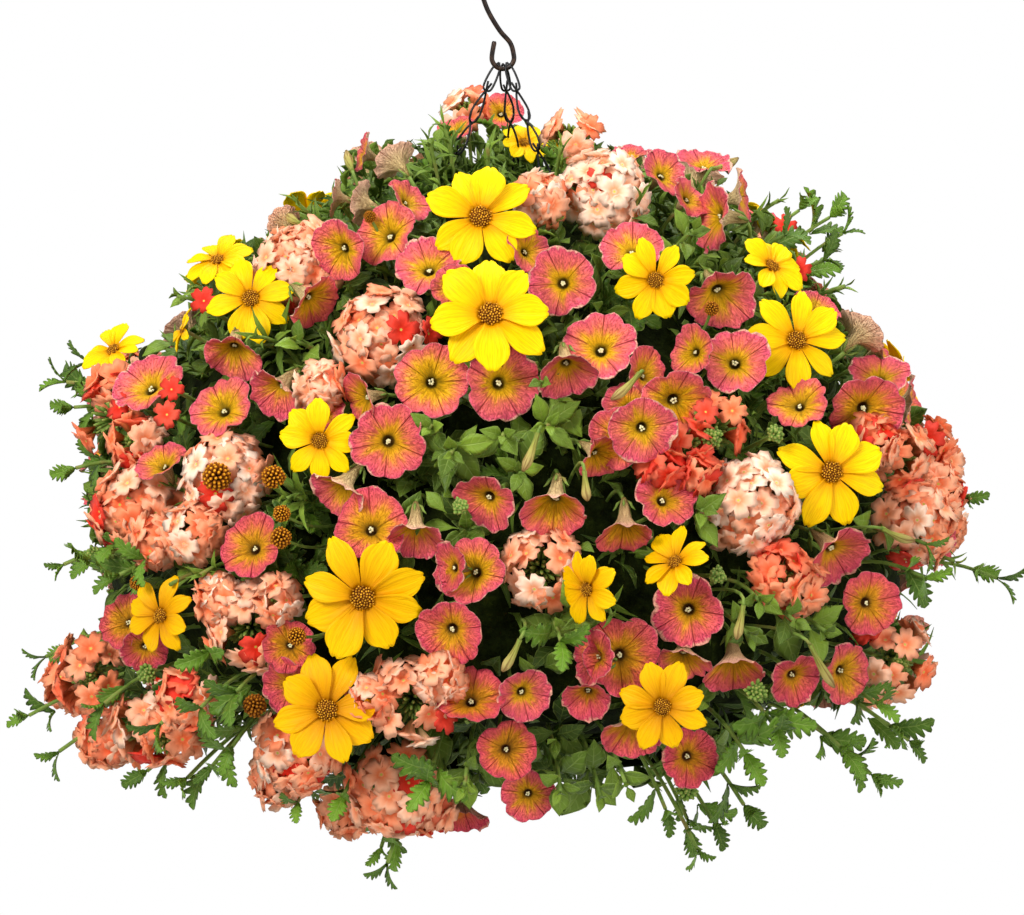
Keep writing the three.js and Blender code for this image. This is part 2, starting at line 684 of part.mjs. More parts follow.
function edgePath(from, to, bend, layer) {
  const count = Math.ceil(from.distanceTo(to) / EDGE_STEP) + (bend === 0 ? 0 : 1);
  const along = to.clone().sub(from).normalize();
  const sideways = bushNormal(from).cross(along).normalize();
  const points = [];
  for (let index = 0; index <= count; index += 1) {
    const share = index / count;
    if (index === 0) points.push(from);
    else if (index === count) points.push(to);
    else {
      const middle = from.clone().lerp(to, share).addScaledVector(sideways, bend * Math.sin(Math.PI * share));
      points.push(corePoint(middle, layer));
    }
  }
  return points;
}

// One spray: its first bloom's stalk runs on as the main stem and into the root, and the others' stalks end
// in it. Each is bent until it is clear of the other sprays.
function growSpray(spray, obstacles) {
  const kind = KINDS[spray.kind];
  const stalks = spray.flowers.map((flower) => clearStalk(flower, spray, obstacles));
  const feet = stalks.map((stalk) => stalk.foot);
  const stems = stemsOf(joinFeet(spray, feet, obstacles), feet);
  const [main] = stems;
  const rooted = rootFor(spray, feet, main, obstacles);
  spray.root = rooted.path;
  if (rooted.end === main.from && main.from !== main.to) turnStem(main);
  const solids = [];
  const isOwner = new Set();
  for (const stem of stems) {
    if (isOwner.has(stem.from)) turnStem(stem);
    const run = stem.points.map((place) => ({ place, radius: kind.stem, isStem: true }));
    if (stem === main && rooted.end !== null) run.push({ place: spray.root[1], radius: kind.stem });
    if (isOwner.has(stem.from)) {
      solids.push(rod(stem.points, kind.stem, STALK_SIDES, bushNormal));
    } else {
      solids.push(kind.solid(spray.flowers[stem.from], [...bendsOf(stalks[stem.from]), ...run]));
      isOwner.add(stem.from);
    }
  }
  spray.flowers.forEach((flower, index) => {
    if (isOwner.has(index)) return;
    const end = { place: stalks[index].foot, radius: STALK_END_RADIUS };
    solids.push(kind.solid(flower, [...bendsOf(stalks[index]), end]));
  });
  if (rooted.end === null) solids.push(rod(spray.root, kind.stem));
  spray.solid = joined(solids);
}

// A plain square hole for a root, wide enough for it whichever way its sides lie.
function rootHole([foot, end], stem) {
  const inward = end.clone().sub(foot).normalize();
  const path = [foot.clone().addScaledVector(inward, -3), end.clone().addScaledVector(inward, 1)];
  return rod(path, (stem + GAP) * Math.SQRT2, 4);
}

function clearStalk(flower, spray, obstacles) {
  const { layer } = KINDS[spray.kind];
  for (const height of [layer, layer + 5, layer - 3]) {
    for (const shift of DROP_SHIFTS) {
      const stalk = stalkTo(flower, shift, height);
      const path = [stalk.start.clone().lerp(stalk.knee ?? stalk.foot, 0.1), ...stalkBends(stalk)];
      if (isClear(rod(path, STALK_RADIUS + GAP), spray.name, obstacles)) return stalk;
    }
  }
  throw new Error(`a flower of ${spray.name} finds no way for its stalk`);
}

function stalkBends(stalk) {
  return stalk.knee ? [stalk.knee, stalk.foot] : [stalk.foot];
}

// The stalk's own bends, without its foot.
function bendsOf(stalk) {
  return stalk.knee ? [{ place: stalk.knee, radius: STALK_RADIUS }] : [];
}

function turnStem(stem) {
  [stem.from, stem.to] = [stem.to, stem.from];
  stem.points.reverse();
}

// Stems between the stalks' feet, shortest first, until they all hang together.
function joinFeet(spray, feet, obstacles) {
  const kind = KINDS[spray.kind];
  const edges = [];
  const island = feet.map((foot, index) => index);
  const pairs = [];
  feet.forEach((foot, index) => {
    for (let other = index + 1; other < feet.length; other += 1) {
      pairs.push({ from: index, to: other, length: foot.distanceTo(feet[other]) });
    }
  });
  pairs.sort((a, b) => a.length - b.length);
  for (const bend of EDGE_BENDS) {
    for (const layer of [kind.layer, kind.layer + 4, kind.layer - 3]) {
      for (const pair of pairs) {
        if (island[pair.from] === island[pair.to]) continue;
        const path = edgePath(feet[pair.from], feet[pair.to], bend, layer);
        if (!isClear(rod(path, kind.stem + GAP), spray.name, obstacles)) continue;
        edges.push({ ...pair, path });
        const merged = island[pair.to];
        island.forEach((label, index) => {
          if (label === merged) island[index] = island[pair.from];
        });
      }
    }
  }
  if (new Set(island).size > 1) throw new Error(`${spray.name} finds no way for its stems`);
  return edges;
}

// Strings the edges of the tree into as few long stems as they allow. A lone bloom's stem is its foot.
function stemsOf(edges, feet) {
  const left = [...edges];
  const stems = [];
  while (left.length > 0) {
    const stem = left.shift();
    const long = { from: stem.from, to: stem.to, points: [...stem.path] };
    for (const isForward of [true, false]) {
      for (;;) {
        const end = isForward ? long.to : long.from;
        const index = left.findIndex((edge) => edge.from === end || edge.to === end);
        if (index < 0) break;
        const [edge] = left.splice(index, 1);
        const onward = edge.from === end ? edge.path : [...edge.path].reverse();
        const reached = edge.from === end ? edge.to : edge.from;
        if (isForward) {
          long.points.push(...onward.slice(1));
          long.to = reached;
        } else {
          long.points.unshift(...[...onward].reverse().slice(0, -1));
          long.from = reached;
        }
      }
    }
    stems.push(long);
  }
  return stems.length > 0 ? stems : [{ from: 0, to: 0, points: [feet[0]] }];
}

// The way from a foot down into the core, at an end of the main stem where that is clear.
function rootFor(spray, feet, main, obstacles) {
  const { stem } = KINDS[spray.kind];
  const order = [main.to, main.from, ...feet.map((foot, index) => index)];
  for (const index of order) {
    const path = [feet[index], corePoint(feet[index], -ROOT_DEPTH)];
    if (isClear(rootHole(path, stem), spray.name, obstacles)) {
      const isEnd = index === main.to || index === main.from;
      return { path, end: isEnd ? index : null };
    }
  }
  throw new Error(`${spray.name} finds no place for its root`);
}

// ---------------------------------------------------------------- hook and chains

// The middle of the hook's wire, as x and z, from the tip of the upper crook down to the lower one.
const UPPER_CROOK = [[15, -22], [16, -12], [11, -2], [0, HOOK_WIRE / 2], [-11, -2.5], [-15.5, -13],
  [-15, -27], [-11, -41], [-3.5, -54], [3.2, -62]];
const LOWER_CROOK = { from: 15, to: -189, steps: 6 }; // degrees round its centre
const HOOK_TIP = [-6.4, -61];

// A point of the lower crook's circle at `angle` degrees, `radius` from its centre.
function crookPoint(angle, radius) {
  const reach = vector(Math.cos(angle * DEGREE), 0, Math.sin(angle * DEGREE)).multiplyScalar(radius);
  return CROOK_CENTRE.clone().add(reach);
}

function hookSolid() {
  const points = UPPER_CROOK.map(([x, z]) => vector(x, 0, z));
  for (let step = 0; step <= LOWER_CROOK.steps; step += 1) {
    const share = step / LOWER_CROOK.steps;
    points.push(crookPoint(LOWER_CROOK.from + (LOWER_CROOK.to - LOWER_CROOK.from) * share, CROOK_RADIUS));
  }
  points.push(vector(HOOK_TIP[0], 0, HOOK_TIP[1]));
  const path = new THREE.CatmullRomCurve3(points);
  const section = new THREE.Shape();
  for (let corner = 0; corner < HOOK_SIDES; corner += 1) {
    const angle = (corner / HOOK_SIDES) * 2 * Math.PI;
    const place = [Math.cos(angle) * (HOOK_WIRE / 2), Math.sin(angle) * (HOOK_WIRE / 2)];
    if (corner === 0) section.moveTo(...place);
    else section.lineTo(...place);
  }
  const options = { steps: HOOK_STEPS, extrudePath: path, bevelEnabled: false };
  return solidFromGeometry(new THREE.ExtrudeGeometry(section, options));
}

// The strand is one skin: eight-faced joints, where two links bear on each other, with the links' wires
// running from face to face. A link leaves a joint by two opposite faces, and the next link by the two
// between them.

function addJoint(points, centre, along, across) {
  const side = along.clone().cross(across).normalize();
  const reach = LINK_WIRE * 0.75;
  const add = (direction, sign) => points.push(centre.clone().addScaledVector(direction, sign * reach)) - 1;
  return { centre, head: add(along, -1), tail: add(along, 1), corners: [add(across, 1), add(side, 1),
    add(across, -1), add(side, -1)] };
}

// The three points of a joint's face on one side of the strand: `pole` is its head or tail.
function jointFace(joint, pole, first) {
  return [pole, joint.corners[first % 4], joint.corners[(first + 1) % 4]];
}

function addFace(points, triangles, face, inside) {
  const [a, b, c] = face.map((index) => points[index]);
  const normal = b.clone().sub(a).cross(c.clone().sub(a));
  const isOutward = normal.dot(a.clone().sub(inside)) > 0;
  triangles.push(isOutward ? face : [face[0], face[2], face[1]]);
}

// A three-sided wire from one face to another through `places`; its inner corner looks at `heart`.
function addWire(points, triangles, from, to, places, heart) {
  const loopNormal = middleOf(points, from).sub(heart).cross(places[0].clone().sub(heart)).normalize();
  const sorted = (face) => {
    const [pole, ...rest] = face;
    const height = (index) => points[index].clone().sub(heart).dot(loopNormal);
    return [pole, ...rest.sort((a, b) => height(a) - height(b))];
  };
  const rings = places.map((place) => {
    const inward = heart.clone().sub(place);
    inward.addScaledVector(loopNormal, -inward.dot(loopNormal)).normalize();
    const corner = (deep, high) => points.push(place.clone().addScaledVector(inward, deep * LINK_WIRE / 2)
      .addScaledVector(loopNormal, high * LINK_WIRE / 2)) - 1;
    return [corner(1, 0), corner(-0.5, -0.87), corner(-0.5, 0.87)];
  });
  const all = [sorted(from), ...rings, sorted(to)];
  const travel = middleOf(points, all[1]).sub(middleOf(points, all[0]));
  const [a, b, c] = all[0].map((index) => points[index]);
  const isTurned = b.clone().sub(a).cross(c.clone().sub(a)).dot(travel) > 0;
  for (let index = 0; index + 1 < all.length; index += 1) {
    const wound = [all[index], all[index + 1]].map((ring) => (isTurned ? [ring[0], ring[2], ring[1]] : ring));
    bridge(triangles, wound[0], wound[1]);
  }
}

// Each chain's place round the rim, from +X toward +Y, and its place along the hook's lower crook.
const CHAINS = [
  { name: "chain_left", azimuth: 196, crookAngle: -128 },
  { name: "chain_rear", azimuth: 76, crookAngle: -90 },
  { name: "chain_right", azimuth: 316, crookAngle: -52 },
];

function chainEnds(chain) {
  const angle = chain.azimuth * DEGREE;
  const top = crookPoint(chain.crookAngle, CROOK_RADIUS - HOOK_WIRE / 2 - LINK_WIRE / 2 - CROOK_CLEARANCE);
  const radial = vector(Math.cos(angle), Math.sin(angle), 0);
  const ringCentre = radial.clone().multiplyScalar(RIM_RING_CENTRE)
    .add(vector(0, 0, POT_RIM_Z - RIM_THICKNESS / 2));
  const end = ringCentre.clone().add(vector(0, 0, RIM_RING_RADIUS + LINK_WIRE));
  return { top, radial, ringCentre, end, along: end.clone().sub(top).normalize() };
}

function chainSolid(chain) {
  const { top, radial, ringCentre, end, along } = chainEnds(chain);
  const depth = vector(0, 1, 0);
  const first = flatOn(depth, along);
  const last = flatOn(radial, along);
  const start = top.clone().addScaledVector(along, LINK_PITCH * 0.8);
  const count = Math.round(start.distanceTo(end) / LINK_PITCH);
  const turn = Math.atan2(first.clone().cross(last).dot(along), first.dot(last));
  const quarter = Math.PI / 2;
  const spare = turn - (count + 1) * quarter;
  const twist = spare - Math.round(spare / Math.PI) * Math.PI;
  const points = [];
  const triangles = [];
  const joints = [];
  for (let index = 0; index <= count; index += 1) {
    const angle = Math.PI / 4 + twist * ((index + 0.5) / (count + 1));
    const across = first.clone().applyAxisAngle(along, angle);
    joints.push(addJoint(points, start.clone().lerp(end, index / count), along, across));
  }
  // Faces 3 and 1 hold the links of one plane, faces 0 and 2 those of the plane across it.
  const heads = (index) => (index % 2 === 0 ? [3, 1] : [0, 2]);
  const tails = (index) => (index % 2 === 0 ? [0, 2] : [3, 1]);
  joints.forEach((joint, index) => {
    const headFaces = tails(index).map((side) => jointFace(joint, joint.head, side));
    const tailFaces = heads(index).map((side) => jointFace(joint, joint.tail, side));
    [...headFaces, ...tailFaces].forEach((face) => addFace(points, triangles, face, joint.centre));
    const next = joints[index + 1];
    if (!next) return;
    const heart = joint.centre.clone().lerp(next.centre, 0.5);
    tails(index).forEach((side) => {
      const from = jointFace(joint, joint.tail, side);
      const outward = flatOn(middleOf(points, from).sub(joint.centre), along);
      const place = heart.clone().addScaledVector(outward, LINK_WIDTH / 2);
      addWire(points, triangles, from, jointFace(next, next.head, side), [place], heart);
    });
  });
  const [hookSide, hookFar] = heads(0).map((side) => jointFace(joints[0], joints[0].head, side));
  const away = flatOn(middleOf(points, hookSide).sub(joints[0].centre), along);
  const blunt = [[1, 0.45], [0.75, 1], [-0.75, 1], [-1, 0.45]].map(([out, up]) => joints[0].centre.clone()
    .lerp(top, up).addScaledVector(away, (out * TOP_LINK_WIDTH) / 2));
  addWire(points, triangles, hookSide, hookFar, blunt, joints[0].centre.clone().lerp(top, 0.5));
  const bottom = joints[count];
  const [rimSide, rimFar] = tails(count).map((side) => jointFace(bottom, bottom.tail, side));
  const outer = middleOf(points, rimSide).sub(bottom.centre).dot(radial) > 0 ? 1 : -1;
  const round = [];
  for (let step = 1; step < RIM_RING_STEPS; step += 1) {
    const angle = quarter - outer * (step / RIM_RING_STEPS) * 2 * Math.PI;
    round.push(ringCentre.clone().addScaledVector(radial, Math.cos(angle) * RIM_RING_RADIUS)
      .add(vector(0, 0, Math.sin(angle) * RIM_RING_RADIUS)));
  }
  addWire(points, triangles, rimSide, rimFar, round, ringCentre);
  return solidFrom(points, triangles);
}

// The plain way through the core that each chain hangs in.
function channelSolid(chain) {
  const { top, end } = chainEnds(chain);
  const half = (CHANNEL_WIDTH / 2) * Math.SQRT2;
  const past = end.clone().add(vector(0, 0, -RIM_RING_RADIUS * 2 - 6));
  return rod([top, end], half, 4).add(rod([end.clone().add(vector(0, 0, 5)), past], half, 4));
}

// ---------------------------------------------------------------- pot, soil and core

function lathe(profile) {
  const points = profile.map(([radius, z]) => new THREE.Vector2(radius, z));
  const geometry = new THREE.LatheGeometry(points, CORE_SIDES);
  geometry.rotateX(Math.PI / 2);
  return solidFromGeometry(geometry);
}

const POT_BASE_Z = POT_RIM_Z - POT_HEIGHT;
const DRAIN_HOLES = 4;
const DRAIN_CIRCLE = 62;
const DRAIN_RADIUS = 5;
const SOIL_CROWN = 4; // how much higher the soil lies in the middle
const POT_CLEARANCE = GAP * 1.3; // across the pot's sloping side

function uprightRod(place, below, above, radius, sides) {
  return rod([place.clone().add(vector(0, 0, below)), place.clone().add(vector(0, 0, above))], radius, sides);
}

function potRadius(z) {
  const share = (z - POT_BASE_Z) / POT_HEIGHT;
  return POT_BASE_RADIUS + (POT_RIM_RADIUS - POT_BASE_RADIUS) * share;
}

function potSolid() {
  const under = POT_RIM_Z - RIM_THICKNESS;
  const floor = POT_BASE_Z + POT_WALL;
  const profile = [[0, POT_BASE_Z], [POT_BASE_RADIUS, POT_BASE_Z], [potRadius(under), under],
    [POT_RIM_RADIUS + RIM_FLANGE, under], [POT_RIM_RADIUS + RIM_FLANGE, POT_RIM_Z],
    [POT_RIM_RADIUS - POT_WALL, POT_RIM_Z], [potRadius(floor) - POT_WALL, floor], [0, floor]];
  let pot = lathe(profile);
  for (const chain of CHAINS) {
    const { radial, ringCentre } = chainEnds(chain);
    const hole = ringCentre.clone().addScaledVector(radial, -RIM_RING_RADIUS);
    pot = pot.subtract(uprightRod(hole, -2 * RIM_THICKNESS, 2 * RIM_THICKNESS, RIM_HOLE_RADIUS, 4));
  }
  for (let hole = 0; hole < DRAIN_HOLES; hole += 1) {
    const angle = ((hole + 0.5) / DRAIN_HOLES) * 2 * Math.PI;
    const place = vector(Math.cos(angle) * DRAIN_CIRCLE, Math.sin(angle) * DRAIN_CIRCLE, POT_BASE_Z);
    pot = pot.subtract(uprightRod(place, -2 * POT_WALL, 3 * POT_WALL, DRAIN_RADIUS, 6));
  }
  return pot;
}

function soilSolid() {
  const top = POT_RIM_Z - SOIL_BELOW_RIM;
  const floor = POT_BASE_Z + POT_WALL + GAP;
  const inner = (z) => potRadius(z) - POT_WALL - POT_CLEARANCE;
  return lathe([[0, floor], [inner(floor), floor], [inner(top), top],
    [inner(top) * 0.6, top + SOIL_CROWN * 0.75], [0, top + SOIL_CROWN]]);
}

// The levels of the core's rings: above the waist as shares of its rise, and below it as heights.
const CORE_LEVELS = [0.93, 0.78, 0.58, 0.34, 0.08];
const CORE_LOWER_LEVELS = [-420, -458, -478];
const CORE_HEM_WIDTH = 14;

// The core rests on the pot's rim and the soil, and hangs round the pot's side without touching it.
function coreSolid() {
  const rise = BUSH_RISE - CORE_INSET;
  const soilTop = POT_RIM_Z - SOIL_BELOW_RIM + SOIL_CROWN + GAP;
  const under = POT_RIM_Z - RIM_THICKNESS - GAP;
  const rimRadius = POT_RIM_RADIUS + RIM_FLANGE + GAP;
  const levels = [...CORE_LEVELS.map((level) => BUSH_WAIST_Z + rise * level), ...CORE_LOWER_LEVELS];
  const rings = levels.map((z, index) => {
    const roughness = index % 2 === 0 ? 0 : CORE_ROUGHNESS;
    return [bushRadius(z, CORE_INSET) - roughness, z];
  });
  const profile = [[0, BUSH_WAIST_Z + rise], ...rings,
    [CORE_HEM_RADIUS, CORE_HEM_Z], [potRadius(CORE_HEM_Z) + CORE_HEM_WIDTH, CORE_HEM_Z],
    [potRadius(CORE_RECESS_Z) + POT_CLEARANCE, CORE_RECESS_Z], [potRadius(under) + POT_CLEARANCE, under],
    [rimRadius, under], [rimRadius, POT_RIM_Z + GAP], [POT_RIM_RADIUS - POT_WALL - GAP, POT_RIM_Z + GAP],
    [potRadius(soilTop) - 2 * POT_WALL, soilTop], [0, soilTop]];
  return lathe(profile.reverse());
}

// ---------------------------------------------------------------- leaves

// A leaf as a thin arched blade, with its rib raised on both sides: `toothed` gives it a cut edge.
function leafSolid(root, along, face, length, width, toothed, thickness = 1.1) {
  const forward = along.clone().normalize();
  const upward = face.clone().addScaledVector(forward, -face.dot(forward)).normalize();
  const side = forward.clone().cross(upward).normalize();
  const outline = toothed
    ? [[0.02, 0.03], [0.38, 0.44], [0.5, 0.26], [0.72, 0.42], [0.8, 0.2], [1, 0]]
    : [[0.02, 0.05], [0.4, 0.46], [0.75, 0.38], [1, 0]];
  const place = (share, across, raise) => root.clone().addScaledVector(forward, share * length)
    .addScaledVector(side, across * width)
    .addScaledVector(upward, raise + 0.16 * length * Math.sin(share * Math.PI * 0.75) - 0.1 * length * share);
  const points = [];
  outline.forEach(([share, across]) => points.push(place(share, across, 0)));
  outline.slice(0, -1).reverse().forEach(([share, across]) => points.push(place(share, -across, 0)));
  const rim = points.length;
  const over = points.push(place(0.5, 0, thickness)) - 1;
  const under = points.push(place(0.5, 0, -thickness * 1.4)) - 1;
  const triangles = [];
  for (let index = 0; index < rim; index += 1) {
    const next = (index + 1) % rim;
    triangles.push([index, next, under], [next, index, over]);
  }
  const solid = solidFrom(points, triangles);
  return solid.volume() < 0 ? solidFrom(points, triangles.map(([a, b, c]) => [a, c, b])) : solid;
}

function leafSolids(obstacles) {
  const random = randomSource(9103);
  const leaves = [];
  for (let trial = 0; trial < LEAF_TRIES && leaves.length < LEAF_COUNT; trial += 1) {
    const level = (trial * LEAF_SPACING[0]) % 1;
    const z = LEAF_LEVELS[0] + level * (LEAF_LEVELS[1] - LEAF_LEVELS[0]);
    const seat = bushPoint(trial * LEAF_SPACING[1] * 2 * Math.PI, z, CORE_INSET + LEAF_SINK);
    const normal = bushNormal(seat);
    const frame = frameOf(normal);
    const along = normal.clone().addScaledVector(frame.side, (random() - 0.5) * 1.3)
      .addScaledVector(frame.up, (random() - 0.6) * 1.1).normalize();
    const toothed = random() < 0.35;
    const length = 48 + random() * 22;
    const width = length * (toothed ? 0.56 : 0.5);
    const face = frame.up.clone().addScaledVector(frame.side, (random() - 0.5) * 1.2);
    const test = leafSolid(seat, along, face, length + 0.8, width + 1.2, toothed, 2);
    if (!isClear(test, "foliage", obstacles)) continue;
    leaves.push(leafSolid(seat, along, face, length, width, toothed));
    obstacles.push(boxed(test, "leaf"));
  }
  return leaves;
}

// A trailing stem from the core out to a tip seen past the blooms, with toothed leaves along it.
function trailingStems(obstacles) {
  const random = randomSource(577);
  const solids = [];
  TRAILING_TIPS.forEach(([x, y]) => {
    const tip = seenPoint(x, y);
    const angle = Math.atan2(tip.x, -tip.y);
    const inner = corePoint(tip, -LEAF_SINK);
    const start = inner.z < LEAF_LEVELS[0] ? bushPoint(angle, LEAF_LEVELS[0], CORE_INSET + LEAF_SINK) : inner;
    const droop = vector(0, 0, tip.z < BUSH_WAIST_Z - 60 ? -8 : 4);
    const path = [start, tip.clone().lerp(start, 0.25).add(droop)];
    if (!isClear(rod(path, STALK_RADIUS + GAP), "foliage", obstacles)) return;
    const bunch = [rod(path, STALK_RADIUS)];
    const along = tip.clone().sub(start).normalize();
    const { side, up } = frameOf(along);
    [[0, 0.94], [1, 0.7]].forEach(([lean, share]) => {
      const root = path[0].clone().lerp(path[1], share);
      const way = along.clone().addScaledVector(side, lean * 0.8).addScaledVector(up, (random() - 0.5) * 0.4);
      const length = lean === 0 ? 34 : 26;
      const leaf = leafSolid(root, way, up, length, length * 0.6, false);
      const test = leafSolid(root, way, up, length + 0.8, length * 0.6 + 1.2, false, 2);
      if (isClear(test, "foliage", obstacles)) bunch.push(leaf);
    });
    solids.push(joined(bunch));
  });
  return solids;
}

// ---------------------------------------------------------------- assembly

const group = new THREE.Group();

const MATERIALS = {
  hook: { color: 0x4a3524, roughness: 0.45, metalness: 0.7 },
  chain: { color: 0x17181a, roughness: 0.45, metalness: 0.6 },
  pot: { color: 0x2c2b29, roughness: 0.6, metalness: 0 },
  soil: { color: 0x2e2119, roughness: 1, metalness: 0 },
  foliage: { color: 0x3f7032, roughness: 0.7, metalness: 0 },
  petunia: { color: 0xe06a55, roughness: 0.6, metalness: 0 },
  bidens: { color: 0xf4c21a, roughness: 0.6, metalness: 0 },
  verbena: { color: 0xf4a184, roughness: 0.65, metalness: 0 },
};

function addPart(name, solid, look) {
  const mesh = new THREE.Mesh(geometryFrom(solid), new THREE.MeshStandardMaterial(MATERIALS[look]));
  mesh.name = name;
  group.add(mesh);
}

const hook = hookSolid();
addPart("hook", hook, "hook");
const obstacles = [boxed(hook, "hook")];

for (const chain of CHAINS) {
  const solid = chainSolid(chain);
  addPart(chain.name, solid, "chain");
  obstacles.push(boxed(solid, chain.name));
}

addPart("pot", potSolid(), "pot");
addPart("soil", soilSolid(), "soil");

const sprays = allSprays();
settleFlowers(sprays);
for (const spray of sprays) {
  for (const flower of spray.flowers) {
    flower.solid = KINDS[spray.kind].solid(flower);
    if (!isClear(flower.solid, spray.name, obstacles)) throw new Error(`${spray.name} has a crossed flower`);
    obstacles.push(boxed(flower.solid, spray.name));
  }
}

// The petunias' stems lie lowest on the core, then those of the verbena, then those of the bidens.
let core = coreSolid();
for (const kind of ["petunia", "verbena", "bidens"]) {
  for (const spray of sprays.filter((one) => one.kind === kind)) {
    growSpray(spray, obstacles);
    obstacles.push(boxed(spray.solid, spray.name));
    core = core.subtract(rootHole(spray.root, KINDS[kind].stem));
  }
}
for (const chain of CHAINS) core = core.subtract(channelSolid(chain));
for (const spray of sprays) addPart(spray.name, spray.solid, spray.kind);

const trailing = trailingStems(obstacles);
trailing.forEach((solid) => obstacles.push(boxed(solid, "leaf")));
addPart("foliage", joined([core, ...trailing, ...leafSolids(obstacles)]), "foliage");

export default group;
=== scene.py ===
import math

import bmesh
import bpy
import numpy as np
from mathutils import Matrix, Vector


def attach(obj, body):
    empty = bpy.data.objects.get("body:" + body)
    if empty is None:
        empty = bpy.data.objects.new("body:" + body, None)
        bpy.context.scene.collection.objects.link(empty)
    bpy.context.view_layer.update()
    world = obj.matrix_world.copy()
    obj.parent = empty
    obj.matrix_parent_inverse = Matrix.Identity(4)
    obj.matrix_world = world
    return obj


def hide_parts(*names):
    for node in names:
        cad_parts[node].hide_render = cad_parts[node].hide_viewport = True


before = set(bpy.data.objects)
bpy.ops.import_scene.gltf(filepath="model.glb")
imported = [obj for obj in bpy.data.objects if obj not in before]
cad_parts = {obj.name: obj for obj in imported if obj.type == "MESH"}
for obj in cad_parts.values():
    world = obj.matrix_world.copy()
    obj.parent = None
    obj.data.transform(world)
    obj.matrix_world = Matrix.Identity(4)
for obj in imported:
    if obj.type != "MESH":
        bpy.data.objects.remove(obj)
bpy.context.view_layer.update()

# ---------------------------------------------------------------- the studio
# A plain white room with soft light from large panels, and a camera that stands where the photographer stood.
# Lengths below are in millimetres, as on the plant, and are made metres in the meshes.

MM = 0.001
MM_PER_PIXEL = 0.62
IMAGE_WIDTH = 1024
CENTRE_PIXEL = np.array((512.0, 457.5))
AXIS_PIXEL = 505.0
ORIGIN_PIXEL = -55.0
VIEW_DISTANCE = 2400.0
VIEW_TILT = math.radians(8)
SENSOR_WIDTH = 36.0

VIEW_RIGHT = np.array((1.0, 0.0, 0.0))
VIEW_UP = np.array((0.0, math.sin(VIEW_TILT), math.cos(VIEW_TILT)))
VIEW_FORWARD = np.array((0.0, math.cos(VIEW_TILT), -math.sin(VIEW_TILT)))
VIEW_TARGET = np.array((CENTRE_PIXEL[0] - AXIS_PIXEL, 0.0, ORIGIN_PIXEL - CENTRE_PIXEL[1])) * MM_PER_PIXEL
VIEW_EYE = VIEW_TARGET - VIEW_FORWARD * VIEW_DISTANCE

ROOM_STRENGTH = 1.0
PANELS = {  # place and aim in metres, width, and watts
    "key_panel": ((-1.5, -2.3, 1.3), (0.0, 0.0, -0.3), 1.0, 84.0),
    "fill_panel": ((2.3, -1.9, 0.4), (0.0, 0.0, -0.35), 1.8, 36.0),
    "top_panel": ((0.2, 0.4, 1.9), (0.0, 0.0, -0.3), 1.4, 48.0),
}


def colour(code, alpha=1.0):
    """A linear colour from its six-digit screen code."""
    shares = np.array([int(code[index:index + 2], 16) / 255 for index in (0, 2, 4)])
    linear = np.where(shares <= 0.04045, shares / 12.92, ((shares + 0.055) / 1.055) ** 2.4)
    return (*linear.tolist(), alpha)


def add_node(tree, kind, inputs=None, **settings):
    """A shader node with its settings; an input is a number, a colour or another node's socket."""
    made = tree.nodes.new(kind)
    for key, value in settings.items():
        setattr(made, key, value)
    for key, value in (inputs or {}).items():
        if isinstance(value, bpy.types.NodeSocket):
            tree.links.new(value, made.inputs[key])
        else:
            made.inputs[key].default_value = value
    return made


def new_material(name, **constants):
    """A material with its Principled shader, whose plain numbers are set straight on the shader's sockets."""
    material = bpy.data.materials.new(name)
    material.use_nodes = True
    shader = material.node_tree.nodes["Principled BSDF"]
    for key, value in constants.items():
        shader.inputs[key.replace("_", " ")].default_value = value
    return material, material.node_tree, shader


def ramp(tree, factor, stops):
    """A colour ramp from (place, colour code) pairs."""
    made = add_node(tree, "ShaderNodeValToRGB", {"Fac": factor})
    elements = made.color_ramp.elements
    while len(elements) < len(stops):
        elements.new(1.0)
    for element, (place, code) in zip(elements, stops):
        element.position = place
        element.color = colour(code)
    return made.outputs["Color"]


def maths(tree, operation, first, second=0.0, third=0.0):
    """One sum on numbers or sockets."""
    made = add_node(tree, "ShaderNodeMath", {0: first, 1: second, 2: third}, operation=operation)
    return made.outputs["Value"]


scene = bpy.context.scene
scene.view_settings.view_transform = "Standard"

world = bpy.data.worlds.new("soft_room")
world.use_nodes = True
room = world.node_tree
room_way = add_node(room, "ShaderNodeTexCoord").outputs["Generated"]
way = add_node(room, "ShaderNodeSeparateXYZ", {"Vector": room_way})
room_light = ramp(room, maths(room, "MULTIPLY_ADD", way.outputs["Z"], 0.5, 0.5), [
    (0.2, "747870"), (0.33, "ffffff"), (0.51, "ffffff"), (0.57, "a6aaae")])
room.links.new(room_light, room.nodes["Background"].inputs["Color"])
room.nodes["Background"].inputs["Strength"].default_value = ROOM_STRENGTH
scene.world = world

for panel_name, (place, aim, width, watts) in PANELS.items():
    light = bpy.data.lights.new(panel_name, "AREA")
    light.size = width
    light.energy = watts
    panel = bpy.data.objects.new(panel_name, light)
    aim_matrix = Vector(np.subtract(aim, place).tolist()).to_track_quat("-Z", "Y")
    panel.rotation_euler = aim_matrix.to_euler()
    panel.location = place
    scene.collection.objects.link(panel)

# The plain pale floor lies far under the hanging basket, below the edge of the photograph.
FLOOR_Z = -1300.0
FLOOR_RADIUS = 900.0
FLOOR_SIDES = 96
FLOOR_COLOUR = "f4f4f2"

